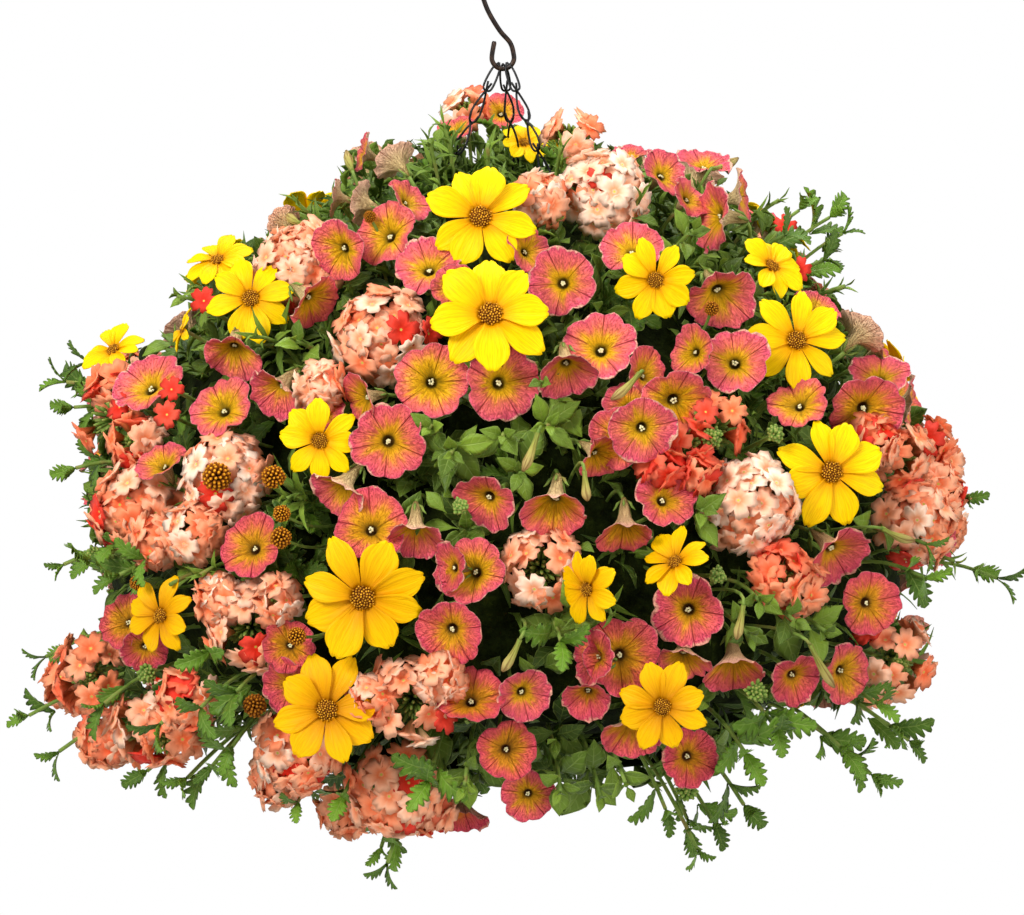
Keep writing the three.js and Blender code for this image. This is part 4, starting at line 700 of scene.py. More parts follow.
def grown_sprays():
    """Every spray by its name, with its flowers' centres settled."""
    sprays = {}
    rear = rear_flowers()
    lists = {"verbena": VERBENA, "petunia": PETUNIAS, "bidens": BIDENS}
    for kind, listed in lists.items():
        groups = [[front_flower(kind, *entry) for entry in group] for group in listed]
        parts = REAR_SPRAYS[kind]
        for part in range(parts):
            groups.append([flower for flower in rear if flower["kind"] == kind and part == min(
                parts - 1, int((flower["angle"] - REAR_START) // (REAR_SWEEP / parts)))])
        for index, group in enumerate([group for group in groups if group]):
            sprays[f"{kind}_spray_{index + 1:02d}"] = group
    placed_flowers = []
    for name, group in sprays.items():
        for flower in group:
            flower["owner"] = name
            others = [other for other in placed_flowers if other["owner"] != name]
            for step in range(LIFT_LIMIT + 1):
                flower["centre"] = flower["seat"] + flower["normal"] * (flower["lift"] + step * LIFT_STEP)
                flower["probes"] = probe_points(flower)
                if not any(flowers_cross(flower, other) for other in others):
                    break
            placed_flowers.append(flower)
    return sprays


def seen_pixels(points):
    """The pixels at which the camera sees points."""
    offset = points - VIEW_EYE
    scale = VIEW_DISTANCE / (offset @ VIEW_FORWARD) / MM_PER_PIXEL
    shift = offset - (VIEW_TARGET - VIEW_EYE)
    x = CENTRE_PIXEL[0] + (shift @ VIEW_RIGHT) * scale
    y = CENTRE_PIXEL[1] - (shift @ VIEW_UP) * scale
    return np.stack([x, y], -1)


def on_pixels(points, pixels):
    """The points moved across the line of sight until the camera sees them at the pixels."""
    away = (np.asarray(pixels, float) - seen_pixels(points)) * MM_PER_PIXEL
    return points + away[..., :1] * VIEW_RIGHT - away[..., 1:] * VIEW_UP


# The growth's outline as the photograph shows it, clockwise from the hook's foot, in pixels.
OUTLINE = np.array([
    (505, 95), (545, 128), (600, 142), (655, 150), (700, 148), (745, 162), (765, 190), (800, 240),
    (812, 275), (850, 305), (890, 345), (915, 380), (930, 430), (955, 470), (965, 520), (950, 560),
    (905, 590), (930, 630), (925, 690), (860, 710), (800, 705), (760, 715), (735, 760), (700, 785),
    (640, 790), (560, 790), (500, 790), (460, 800), (400, 815), (340, 800), (270, 785), (240, 730),
    (195, 770), (130, 755), (60, 700), (55, 650), (105, 615), (100, 575), (85, 520), (80, 460), (75, 420),
    (90, 375), (140, 345), (190, 320), (185, 280), (215, 250), (270, 235), (300, 210), (335, 190),
    (350, 150), (385, 140), (430, 125), (465, 105)])


def inside_outline(points):
    """Whether all points of each group (groups, points, 3) are seen inside the outline: a point is inside
    where a line to its right crosses the outline an odd number of times."""
    x, y = np.moveaxis(seen_pixels(points), -1, 0)
    inside = np.zeros(x.shape, bool)
    for (x0, y0), (x1, y1) in zip(OUTLINE, np.roll(OUTLINE, -1, axis=0)):
        if y0 != y1:
            inside ^= ((y0 > y) != (y1 > y)) & (x < (x1 - x0) * (y - y0) / (y1 - y0) + x0)
    return inside.all(axis=1)


SINK_STEPS = 7
SINK_STEP = 4.0


def sink_inside_outline(flower):
    """Sinks a flower toward the dome, step by step, until its rim is seen inside the outline, and says
    whether it got there. One that didn't is made smaller."""
    side, up = (one[0] for one in frames_of(flower["facing"][None]))
    turn = np.linspace(0, 2 * math.pi, 8, endpoint=False)[:, None]
    rim = (np.cos(turn) * side + np.sin(turn) * up) * flower["radius"] * 0.9
    for _ in range(SINK_STEPS):
        if inside_outline((flower["centre"] + rim)[None])[0]:
            return True
        flower["centre"] = flower["centre"] - flower["normal"] * SINK_STEP
    flower["radius"] *= 0.8
    return False


# Flowers by their pixels: those that get another turn and tip, and those that stand behind the chains, in mm
# further from the viewer.
REFACED = {
    (471, 570): (-22, 12), (690, 350): (-38, 12), (797, 682): (20, -28), (772, 266): (35, 36),
    (217, 260): (-15, 45), (113, 350): (-30, 42), (524, 143): (15, 35)}
BEHIND_CHAINS = {(502, 108): 110, (524, 143): 125, (455, 126): 90}
HANGS_FROM = 25  # degrees below level at which a petunia starts to hang like a bell
HANGS_OVER = 30  # degrees further until it is wholly a bell
HANGS_TO_VIEWER = 52  # degrees below level at which a bell's mouth is turned a little to the viewer
HEAD_GROWTH = 1.04

sprays = grown_sprays()
flowers = [flower for group in sprays.values() for flower in group]
for flower in flowers:
    tip = math.degrees(math.asin(float(np.clip(flower["facing"] @ VIEW_UP, -1, 1))))
    hangs = float(np.clip((-tip - HANGS_FROM) / HANGS_OVER, 0, 1))
    flower["bell"] = hangs if flower["kind"] == "petunia" else 0.0
    if flower["pixel"] is None:
        sink_inside_outline(flower)
    else:
        if flower["pixel"] in REFACED:
            flower["facing"] = seen_facing(*REFACED[flower["pixel"]])
        if tip < -HANGS_TO_VIEWER and flower["kind"] == "petunia":
            flower["facing"] = unit(flower["facing"] - VIEW_FORWARD * 0.3)
        flower["centre"] = flower["centre"] + VIEW_FORWARD * BEHIND_CHAINS.get(flower["pixel"], 0)
        if flower["kind"] == "verbena":
            flower["facing"] = unit(flower["normal"] * 0.75 - VIEW_FORWARD * 0.55)
            flower["radius"] *= HEAD_GROWTH
        flower["centre"] = on_pixels(flower["centre"], flower["pixel"])

# Further flowers fill the rear half and a few gaps at the sides: a seeded rule tries places, and keeps those
# that stand clear of all the flowers before.
REAR_TRIES = 560
REAR_FILL = {"petunia": (30, 4.0), "bidens": (42, 9.0), "verbena": (40, -4.0)}  # radius in pixels, lift in mm
REAR_MIX = ["petunia", "petunia", "petunia", "verbena", "bidens"]
REAR_ANGLES = (84, 276)
REAR_HEIGHTS = (-110, 238)
REAR_LEAN = 0.28
fill_draw = np.random.default_rng(17)
fillers = []
for _ in range(REAR_TRIES):
    angle = math.radians(fill_draw.uniform(*REAR_ANGLES))
    seat = bush_point(angle, BUSH_WAIST_Z + fill_draw.uniform(*REAR_HEIGHTS))
    kind = str(fill_draw.choice(REAR_MIX))
    size, lift = REAR_FILL[kind]
    normal = bush_normal(seat)
    sway = fill_draw.normal(0, REAR_LEAN, 3) * (kind != "verbena")
    flower = {"kind": kind, "seat": seat, "normal": normal, "facing": unit(normal + sway), "pixel": None,
              "radius": size * MM_PER_PIXEL * fill_draw.uniform(0.9, 1.15), "centre": seat + normal * lift,
              "bell": 0.0}
    seen = sink_inside_outline(flower)
    flower["probes"] = probe_points(flower)
    if seen and not any(flowers_cross(flower, other) for other in flowers):
        fillers.append(flower)
        flowers.append(flower)
for kind in LIFTS:
    for side, sign in (("left", -1), ("right", 1)):
        sprays[f"further_{kind}_{side}"] = [
            flower for flower in fillers if flower["kind"] == kind and flower["centre"][0] * sign > 0]


# ---------------------------------------------------------------- stalks and stems
# Every flower stands on a green stalk that bends from behind it down into the tangle of stems.

CORE_INSET = 45.0  # how deep the tangle of stems lies under the flowers
STALK_START = {"petunia": 1.22, "bidens": 0.16, "verbena": 0.95}
BELL_TUBE = 0.42  # how much longer the tube of a hanging petunia is
STALK_SINK = 16.0
STALK_WIDTH = {"petunia": (1.25, 1.0), "bidens": (1.2, 1.0), "verbena": (1.3, 1.1)}

stem_material, stem_tree, stem_shader = new_material("green_stem", Roughness=0.6, Specular_IOR_Level=0.2)
stem_place = object_place(stem_tree)
stem_mottle = noise(stem_tree, stem_place, 90.0, 3.0)
stem_down = noise(stem_tree, stem_place, 1500.0)
feed(stem_tree, stem_shader,
     Base_Color=ramp(stem_tree, stem_mottle, [(0.35, "566e26"), (0.55, "7c9440"), (0.75, "8e7c42")]),
     Normal=bumped(stem_tree, stem_down, 0.4, 0.4))


def bezier(first, bend, last, steps):
    """Curves of three points each: (copies, 3) arrays give (copies, steps, 3)."""
    t = np.linspace(0, 1, steps)[None, :, None]
    return first[:, None] * (1 - t) ** 2 + bend[:, None] * 2 * t * (1 - t) + last[:, None] * t**2


def core_under(points, inset):
    """The points moved toward the middle of the waist until they lie on the dome less `inset`."""
    waist = np.array((0.0, 0.0, BUSH_WAIST_Z))
    low, high = np.zeros(len(points)), np.full(len(points), 1.6)
    for _ in range(30):
        middle = (low + high) / 2
        inside = bush_share(waist + (points - waist) * middle[:, None], inset) < 1
        low, high = np.where(inside, middle, low), np.where(inside, high, middle)
    return waist + (points - waist) * low[:, None]


def gathered(group, *keys):
    """The flowers' values as one array for each key."""
    return [np.array([flower[key] for flower in group]) for key in keys]


def stalks_of(group):
    """The stalks of one spray as one surface."""
    kind = group[0]["kind"]
    centre, facing, radius = gathered(group, "centre", "facing", "radius")
    radius = radius[:, None]
    bell = np.array([flower.get("bell", 0.0) for flower in group])[:, None]
    start = centre - facing * (STALK_START[kind] * 0.97 + bell * BELL_TUBE) * radius
    if kind == "petunia":
        start = start - frames_of(facing)[1] * radius * 0.11  # the tube's end sags
    foot = core_under(start, CORE_INSET + STALK_SINK)
    bend = start - facing * 0.55 * np.linalg.norm(foot - start, axis=1, keepdims=True)
    bend = bend * 0.7 + foot * 0.3
    widths = np.linspace(*STALK_WIDTH[kind], 9)
    return surface(tubes(bezier(start, bend, foot, 9), widths[None], 6), stem_material, wraps=True)


# ---------------------------------------------------------------- petunias
# Each bloom is one soft funnel of five joined petals with a wavy edge, a long tube behind and a green calyx.
# It is coral pink at the margin, with a golden star round a dark throat, where five pale anthers stand.

PETUNIA_COLUMNS = 50
TUBE_END = 1.22
# From the throat's bottom over the rim back to the tube's end, as outward and forward shares of the radius.
PETUNIA_PROFILE = np.array([
    (0.0, -0.64), (0.075, -0.61), (0.11, -0.55), (0.135, -0.48), (0.175, -0.41), (0.25, -0.35),
    (0.37, -0.28), (0.51, -0.21), (0.66, -0.145), (0.8, -0.085), (0.91, -0.045), (0.975, -0.02),
    (1.0, -0.025), (0.99, -0.04), (0.86, -0.085), (0.68, -0.16), (0.5, -0.26), (0.36, -0.37), (0.26, -0.49),
    (0.2, -0.64), (0.165, -0.82), (0.13, -1.0), (0.09, -1.15), (0.05, -1.24), (0.0, -1.25)])
PETUNIA_SPREAD = 1.07


def sprays_of(kind):
    """The sprays of one kind of flower, by name."""
    return [(name, group) for name, group in sprays.items() if group[0]["kind"] == kind]


def replaced(name):
    """The node that a spray's pieces stand for, if it has one."""
    return [] if name.startswith("further") else [name]


def petunia_surfaces(group, draw):
    """The funnels of a spray. The outline is pulled in sharply between petals and a little at their middles,
    each petal bends forward or back by chance, and slow and quick waves lift the limb more towards its
    edge."""
    count = len(group)
    angle = np.linspace(0, 2 * math.pi, PETUNIA_COLUMNS, endpoint=False)[None, None]
    outward = PETUNIA_PROFILE[None, :, None, 0] * np.ones((count, 1, PETUNIA_COLUMNS))
    forward = PETUNIA_PROFILE[None, :, None, 1] * np.ones((count, 1, PETUNIA_COLUMNS))
    to_rib = np.abs((angle / (2 * math.pi) * 5 + 0.5) % 1 - 0.5) * 2  # 0 at a petal's middle, 1 in a seam
    phase = draw.uniform(0, 2 * math.pi, (5, count, 1, 1))
    centre, facing, size = gathered(group, "centre", "facing", "radius")
    age, bell, tone = gathered(group, "age", "bell", "tone")
    age, bell, radius = age[:, None, None], bell[:, None, None], size[:, None, None]
    notch = draw.uniform(0.07, 0.15, (count, 1, 1)) * np.exp(-(((1 - to_rib) / 0.22) ** 2))
    notch = notch + draw.uniform(0.0, 0.05, (count, 1, 1)) * np.exp(-((to_rib / 0.16) ** 2))
    petal = np.arange(5)[:, None, None, None]
    from_petal = np.abs((angle[None] - petal * 2 * math.pi / 5 + math.pi) % (2 * math.pi) - math.pi)
    bend = (draw.uniform(-0.22, 0.14, (5, count, 1, 1)) * np.exp(-((from_petal / 0.52) ** 2))).sum(axis=0)
    edge = outward**3
    slow = 0.075 * np.cos(angle - phase[0]) + 0.06 * np.cos(2 * angle - phase[1]) + bend
    quick = 0.04 * np.cos(9 * angle + phase[2]) + 0.034 * np.cos(14 * angle + phase[3] + np.sin(angle))
    quick = quick + 0.02 * np.cos(23 * angle + phase[4])
    forward = forward + outward**2 * slow * (0.8 + age) + outward**6 * quick * (0.8 + age)
    forward = forward + 0.04 * outward**2 * (2 * to_rib - 1)
    forward = forward - 0.02 * np.exp(-((to_rib / 0.09) ** 2)) * outward
    forward = forward - age * 0.12 * outward**3
    forward = forward - bell * BELL_TUBE * (1 - outward) * np.clip(outward * 5, 0, 1)
    forward = forward - bell * BELL_TUBE * np.clip((-PETUNIA_PROFILE[None, :, None, 1] - 0.45) / 0.8, 0, 1)
    outward = outward * (1 - 0.1 * bell)
    outward = outward * (1 - notch * edge) * (1 + 0.035 * np.cos(3 * angle + phase[1]) * edge)
    outward = outward * PETUNIA_SPREAD
    sag = 0.25 * np.clip(-PETUNIA_PROFILE[None, :, None, 1] - 0.55, 0, None) ** 2 * radius
    turn = angle + draw.uniform(0, 2 * math.pi, (count, 1, 1))
    local = np.stack([np.cos(turn) * outward * radius, np.sin(turn) * outward * radius - sag,
                      forward * radius + 0 * turn], axis=-1)
    return surface(placed(centre, facing, local), petunia_material, wraps=True, tone=tone)


def petunia_parts(group, draw):
    """Anthers in the throat, and the calyx of five narrow sepals round the tube's end."""
    centre, facing, size, bell = gathered(group, "centre", "facing", "radius", "bell")
    radius, bell = size[:, None, None], bell[:, None]
    count = len(group)
    step = np.arange(5)[None, :] / 5 * 2 * math.pi + draw.uniform(0, 6, (count, 1))
    spread = draw.uniform(0.03, 0.075, (count, 5))
    ahead = draw.uniform(-0.42, -0.34, (count, 5)) - bell * 0.34
    tube_end = (TUBE_END + BELL_TUBE * bell) * radius[:, 0]
    tips = np.stack([np.cos(step) * spread, np.sin(step) * spread, ahead], axis=-1) * radius
    middle = placed(centre, facing, tips).reshape(-1, 3)
    normal = np.repeat(facing, 5, axis=0)
    wide = np.repeat(radius[:, 0, 0], 5) * 0.036
    beads = np.stack([middle - normal * wide[:, None], middle + normal * wide[:, None]], axis=1)
    beads = bezier(beads[:, 0], middle, beads[:, 1], 5)
    swell = np.array((0.35, 0.95, 1.1, 0.9, 0.3))[None] * wide[:, None]
    anthers = surface(tubes(beads, swell, 6), anther_material, wraps=True)
    side, up = frames_of(facing)
    sepal_angle = np.arange(5)[None] / 5 * 2 * math.pi + 0.4
    around = np.cos(sepal_angle)[..., None] * side[:, None] + np.sin(sepal_angle)[..., None] * up[:, None]
    base = (centre - facing * tube_end - up * radius[:, 0] * 0.12)[:, None] + around * 1.0
    reach = np.array((0.0, 0.16, 0.32, 0.46))[None, None, :, None] * radius[..., None]
    flare = np.array((0.02, 0.17, 0.23, 0.33))[None, None, :, None] * radius[..., None]
    paths = base[:, :, None] + reach * facing[:, None, None] + flare * around[:, :, None]
    widths = np.array((0.02, 0.055, 0.045, 0.01))[None, None] * radius
    widths = np.broadcast_to(widths, paths.shape[:3]).reshape(-1, 4)
    sepals = surface(tubes(paths.reshape(-1, 4, 3), widths, 5), stem_material, wraps=True)
    return [anthers, sepals]


def blended(tree, factor, first, second, blend="MIX"):
    """Two colours mixed by a factor."""
    made = add_node(tree, "ShaderNodeMix", {"Factor": factor}, data_type="RGBA", blend_type=blend)
    for key, value in ((6, first), (7, second)):
        if isinstance(value, bpy.types.NodeSocket):
            tree.links.new(value, made.inputs[key])
        else:
            made.inputs[key].default_value = value
    return made.outputs[2]


def sloped(tree, value, start, end, first, last):
    """A number that goes from `first` to `last` as the value goes from `start` to `end`, and is level
    outside."""
    inputs = {"Value": value, "From Min": start, "From Max": end, "To Min": first, "To Max": last}
    return add_node(tree, "ShaderNodeMapRange", inputs).outputs["Result"]


def near_middle(tree, value, middle=0.5):
    """How far a value is from a middle one."""
    return maths(tree, "ABSOLUTE", maths(tree, "SUBTRACT", value, middle))


def uv_axes(tree):
    """The shares across a surface's columns and along its rows."""
    uv = add_node(tree, "ShaderNodeUVMap", uv_map="UVMap").outputs["UV"]
    parts = add_node(tree, "ShaderNodeSeparateXYZ", {"Vector": uv})
    return parts.outputs["X"], parts.outputs["Y"]


def tone_of(tree, output="Color"):
    """The numbers that each copy on a surface carries, as a colour or, with "Fac", as one number."""
    return add_node(tree, "ShaderNodeAttribute", attribute_name="tone").outputs[output]


petunia_material, tree, shader = new_material("petunia_petal", Roughness=0.55, Specular_IOR_Level=0.14)
around, along = uv_axes(tree)
tone_parts = add_node(tree, "ShaderNodeSeparateColor", {"Color": tone_of(tree)})
turned_angle = maths(tree, "MULTIPLY", around, 2 * math.pi)
ripples = add_node(tree, "ShaderNodeCombineXYZ", {
    "X": maths(tree, "COSINE", turned_angle), "Y": maths(tree, "SINE", turned_angle),
    "Z": maths(tree, "MULTIPLY_ADD", along, 1.1, maths(tree, "MULTIPLY", tone_parts.outputs["Blue"], 40.0))})
broad = noise(tree, ripples.outputs["Vector"], 1.3, 2.0, 0.6)
rays = noise(tree, ripples.outputs["Vector"], 6.0, 3.0, 0.6)
fine_rays = noise(tree, ripples.outputs["Vector"], 17.0, 2.0, 0.6)
off_rib = maths(tree, "ABSOLUTE", maths(tree, "SINE", maths(tree, "MULTIPLY", around, 5 * math.pi)))
reach = maths(tree, "MULTIPLY_ADD", maths(tree, "SUBTRACT", rays, 0.5), 0.17, along)
reach = maths(tree, "MULTIPLY_ADD", maths(tree, "SUBTRACT", broad, 0.5), 0.26, reach)
reach = maths(tree, "MULTIPLY_ADD", tone_parts.outputs["Red"], -0.07, maths(tree, "ADD", reach, 0.035))
past_throat = sloped(tree, along, 0.15, 0.27, 0.0, 1.0)
before_rim = sloped(tree, along, 0.46, 0.49, 1.0, 0.0)
shift = maths(tree, "MULTIPLY", maths(tree, "SUBTRACT", reach, along), past_throat)
shift = maths(tree, "MULTIPLY", shift, before_rim)
# The stops from 0.5 on colour the back of the funnel. Its pale peach and cream are lighter than the petal's
# own back colour, as painted light shining through the thin petals.
star = ramp(tree, maths(tree, "ADD", along, shift), [
    (0.0, "3a2c04"), (0.12, "54440a"), (0.15, "7c660c"), (0.18, "b08c0c"), (0.205, "dca80e"),
    (0.245, "f2b41a"), (0.28, "f4a23a"), (0.31, "f08250"), (0.35, "ee6e64"), (0.41, "e8606c"),
    (0.465, "e25474"), (0.495, "f2b09a"), (0.515, "ffc2a8"), (0.6, "ffccaa"), (0.68, "f6d29c"),
    (0.78, "f0d294"), (0.88, "dac07a"), (0.95, "a49c4a"), (1.0, "6e8034")])
vein = sloped(tree, near_middle(tree, fine_rays), 0.0, 0.04, 1.0, 0.0)
midrib = sloped(tree, off_rib, 0.0, 0.07, 1.0, 0.0)
behind = sloped(tree, along, 0.52, 0.7, 0.32, 0.7)
lines = maths(tree, "MAXIMUM", maths(tree, "MULTIPLY", vein, behind), maths(tree, "MULTIPLY", midrib, 0.75))
lines = maths(tree, "MULTIPLY", lines, past_throat)
# The second tone number darkens a bloom towards deep magenta: a random deeper tone for each bloom, plus
# painted shade on the lower blooms under the dome.
deep_tone_and_painted_shade = blended(tree, tone_parts.outputs["Green"], star, colour("c23c5c"), "MULTIPLY")
deep_tone_and_painted_shade = blended(tree, maths(tree, "MULTIPLY", tone_parts.outputs["Green"], 0.25), deep_tone_and_painted_shade, colour("a42c4c"))
veined = blended(tree, lines, deep_tone_and_painted_shade, colour("a8482c"), "MULTIPLY")
mottled = blended(tree, maths(tree, "MULTIPLY", rays, 0.45), veined, colour("ffd0b0"), "SOFT_LIGHT")
relief = maths(tree, "MULTIPLY_ADD", lines, -0.8, maths(tree, "MULTIPLY_ADD", rays, 0.9, broad))
feed(tree, shader, Base_Color=mottled, Normal=bumped(tree, relief, 1.0, 2.0))

anther_material, tree, shader = new_material("pale_anther", Roughness=0.7)
pollen = noise(tree, object_place(tree), 1800.0)
feed(tree, shader, Base_Color=ramp(tree, pollen, [(0.3, "c9bf7a"), (0.7, "fbf6cf")]),
     Normal=bumped(tree, pollen, 0.5, 0.3))

petunia_draw = np.random.default_rng(41)
for name, group in sprays_of("petunia"):
    for flower in group:
        # Lower blooms get a larger second tone number and so are painted darker, as painted shade, with a
        # random share on top.
        low = (flower["centre"][2] + 320) / -220
        warm = petunia_draw.uniform(0.0, 1.0)
        flower["age"] = petunia_draw.uniform(0.0, 0.5)
        flower["tone"] = (warm, float(np.clip(low * 0.3 + petunia_draw.uniform(0.0, 0.22), 0.0, 0.7)),
                          petunia_draw.uniform(), 1.0)
    blooms = [petunia_surfaces(group, petunia_draw), *petunia_parts(group, petunia_draw)]
    add_piece(f"{name}_blooms", blooms, replaced(name))
    add_piece(f"{name}_stalks", [stalks_of(group)], replaced(name))


# ---------------------------------------------------------------- bidens
# Yellow daisies of eight grooved, notched ray petals round a domed disc of small brown and orange florets.

BIDENS_PETALS = 8
BIDENS_SPREAD = 1.12
PETAL_ROWS = 11
PETAL_COLUMNS = 9
DISC_PROFILE = np.array([
    (0, 0.1), (0.07, 0.093), (0.13, 0.07), (0.175, 0.035), (0.185, 0.0), (0.1, -0.1), (0, -0.15)])
DISC_FLORETS = 64
GOLDEN_ANGLE = 2.39996  # the turn from one floret of a spiral to the next


def bidens_surfaces(group, draw):
    """Ray petals: a strip whose half width swells and closes along its length, with a centre notch at its
    end, two grooves, a gentle arch along and a random twist and pitch."""
    count = len(group)
    petals = np.arange(BIDENS_PETALS)[None] / BIDENS_PETALS * 2 * math.pi
    heading = petals + draw.uniform(-0.14, 0.14, (count, BIDENS_PETALS)) + draw.uniform(0, 6, (count, 1))
    length = draw.uniform(0.84, 1.0, (count, BIDENS_PETALS, 1, 1))
    centre, facing, size, cup, tone = gathered(group, "centre", "facing", "radius", "cup", "tone")
    pitch = draw.uniform(-0.22, 0.16, (count, BIDENS_PETALS, 1, 1)) + cup[:, None, None, None]
    twist = draw.uniform(-0.25, 0.25, (count, BIDENS_PETALS, 1, 1))
    a = np.linspace(0, 1, PETAL_ROWS)[None, None, :, None]
    b = np.linspace(-1, 1, PETAL_COLUMNS)[None, None, None]
    half = 0.25 * np.sin(math.pi * (0.1 + 0.74 * a**1.25))
    half = half * draw.uniform(0.75, 1.15, (count, BIDENS_PETALS, 1, 1))
    tip = 1 - 0.12 * b**2 * a**3 - 0.05 * np.exp(-((b / 0.2) ** 2)) * a**4
    run = 0.15 + 0.85 * length * a * tip
    across = half * b
    groove = -0.014 * np.cos(3 * math.pi * b) * np.sin(math.pi * np.clip(a * 0.95, 0, 1))
    arch = 0.055 * np.sin(math.pi * a) - 0.05 * a**2
    fold = 0.05 * b**2 * (1 - 0.4 * a)
    stack = 0.012 * np.where(np.arange(BIDENS_PETALS) % 2 == 0, 1, -1)[None, :, None, None]
    high = arch + groove + fold + stack + across * twist + (run - 0.15) * np.tan(pitch)
    run = 0.15 + (run - 0.15) * np.cos(pitch)
    cosine, sine = np.cos(heading)[..., None, None], np.sin(heading)[..., None, None]
    local = np.stack([run * cosine - across * sine, run * sine + across * cosine, high + 0 * run], axis=-1)
    radius = size[:, None, None, None, None] * BIDENS_SPREAD
    points = placed(centre, facing, local * radius).reshape(-1, PETAL_ROWS, PETAL_COLUMNS, 3)
    tone = np.repeat(tone, BIDENS_PETALS, axis=0)
    tone[:, 1] = draw.uniform(0, 1, len(tone))
    return surface(points, bidens_material, tone=tone)


def bidens_discs(group, draw):
    """The disc: a low dome with its florets as small flared tubes on a sunflower spiral, and narrow green
    bracts behind the petals."""
    centre, facing, radius = gathered(group, "centre", "facing", "radius")
    count = len(group)
    angle = np.linspace(0, 2 * math.pi, 16, endpoint=False)
    dome = np.stack([DISC_PROFILE[:, :1] * np.cos(angle), DISC_PROFILE[:, :1] * np.sin(angle),
                     DISC_PROFILE[:, 1:] + 0 * angle], axis=-1)[None] * radius[:, None, None, None]
    domes = surface(placed(centre, facing, dome), disc_material, wraps=True, tone=[(0.0, 0, 0, 1)] * count)
    index = np.arange(DISC_FLORETS)
    turn = index * GOLDEN_ANGLE
    out = 0.178 * np.sqrt((index + 0.5) / DISC_FLORETS)
    base = np.stack([out * np.cos(turn), out * np.sin(turn), 0.095 - 2.1 * out**2 - 0.01 + 0 * out], axis=-1)
    lean = np.stack([np.cos(turn) * out * 1.6, np.sin(turn) * out * 1.6, 0.5 + 0 * out], axis=-1)
    tall = draw.uniform(0.035, 0.075, (count, DISC_FLORETS, 1))
    tips = base[None] + unit(lean)[None] * tall
    ends = [placed(centre, facing, one * radius[:, None, None]).reshape(-1, 3)
            for one in (base[None] + 0 * tips, tips)]
    widths = np.array((0.45, 0.75, 0.95))[None] * np.repeat(radius * 0.0185, DISC_FLORETS)[:, None]
    paths = np.stack([ends[0], (ends[0] + ends[1]) / 2, ends[1]], axis=1)
    bright = draw.uniform(0.25, 1.0, count * DISC_FLORETS)
    shade = np.stack([bright, bright, bright, np.ones(len(bright))], axis=1)
    florets = surface(tubes(paths, widths, 5), disc_material, wraps=True, tone=shade)
    side, up = frames_of(facing)
    bract_angle = np.arange(8)[None] / 8 * 2 * math.pi + 0.3
    around = np.cos(bract_angle)[..., None] * side[:, None] + np.sin(bract_angle)[..., None] * up[:, None]
    reach = np.array((0.03, 0.14, 0.25, 0.34))[None, None, :, None] * radius[:, None, None, None]
    back = np.array((-0.15, -0.11, -0.06, -0.05))[None, None, :, None] * radius[:, None, None, None]
    paths = centre[:, None, None] + reach * around[:, :, None] + back * facing[:, None, None]
    widths = np.array((0.02, 0.03, 0.028, 0.006)) * radius[:, None, None]
    widths = np.broadcast_to(widths, paths.shape[:3]).reshape(-1, 4)
    bracts = surface(tubes(paths.reshape(-1, 4, 3), widths, 5), stem_material, wraps=True)
    return [domes, florets, bracts]


bidens_material, tree, shader = new_material("bidens_petal", Roughness=0.5, Specular_IOR_Level=0.08)
across, along = uv_axes(tree)
tone_parts = add_node(tree, "ShaderNodeSeparateColor", {"Color": tone_of(tree)})
streak_place = add_node(tree, "ShaderNodeCombineXYZ", {
    "X": maths(tree, "MULTIPLY", across, 14.0), "Y": maths(tree, "MULTIPLY", along, 1.2),
    "Z": maths(tree, "MULTIPLY", tone_parts.outputs["Green"], 30.0)}).outputs["Vector"]
streaks = noise(tree, streak_place, 1.0, 2.0)
# The first tone number mixes the plain yellow towards a deeper, darker one, as painted shade on the lower
# flowers.
unshaded_yellow = ramp(tree, along, [
    (0.0, "cc8400"), (0.12, "eaa800"), (0.35, "f8c400"), (0.8, "fcd400"), (1.0, "fedb00")])
painted_shade_yellow = ramp(tree, along, [(0.0, "a86400"), (0.2, "d28c00"), (0.6, "e8a800"), (1.0, "eeb400")])
yellow = blended(tree, tone_parts.outputs["Red"], unshaded_yellow, painted_shade_yellow)
line = sloped(tree, near_middle(tree, streaks), 0.0, 0.07, 0.32, 0.0)
feed(tree, shader, Base_Color=blended(tree, line, yellow, colour("c07400")),
     Normal=bumped(tree, streaks, 0.6, 0.9))

disc_material, tree, shader = new_material("bidens_disc", Roughness=0.75, Specular_IOR_Level=0.1)
_, along = uv_axes(tree)
tips = ramp(tree, along, [(0.0, "5a2c08"), (0.55, "8a4a0c"), (0.75, "e69a18"), (1.0, "f4be3c")])
feed(tree, shader, Base_Color=blended(tree, tone_of(tree, "Fac"), colour("76400c"), tips))

PAINTED_SHADE_BELOW = -290.0  # the height below which a flower is painted a deeper yellow, as painted shade
bidens_draw = np.random.default_rng(7)
for name, group in sprays_of("bidens"):
    for flower in group:
        # The lower a flower stands, the more of the deeper yellow it gets: painted shade.
        painted_shade_share = np.clip((PAINTED_SHADE_BELOW - flower["centre"][2]) / 100, 0.0, 0.9)
        upward = flower["facing"] @ VIEW_UP
        flower["cup"] = 0.35 if upward > 0.75 else 0.05
        flower["tone"] = (float(painted_shade_share), 0.0, 0.0, 1.0)
    petals = bidens_surfaces(group, bidens_draw)
    add_piece(f"{name}_petals", [petals], replaced(name), thickness=0.5)
    add_piece(f"{name}_discs", bidens_discs(group, bidens_draw), replaced(name))
    add_piece(f"{name}_stalks", [stalks_of(group)], replaced(name))


# ---------------------------------------------------------------- verbena
# Heads of small flat florets on narrow tubes, each with five notched petals and a yellow-green eye, stand out
# from a green bunch of buds. Full heads are domes, and younger or older ones keep a ring round the buds.

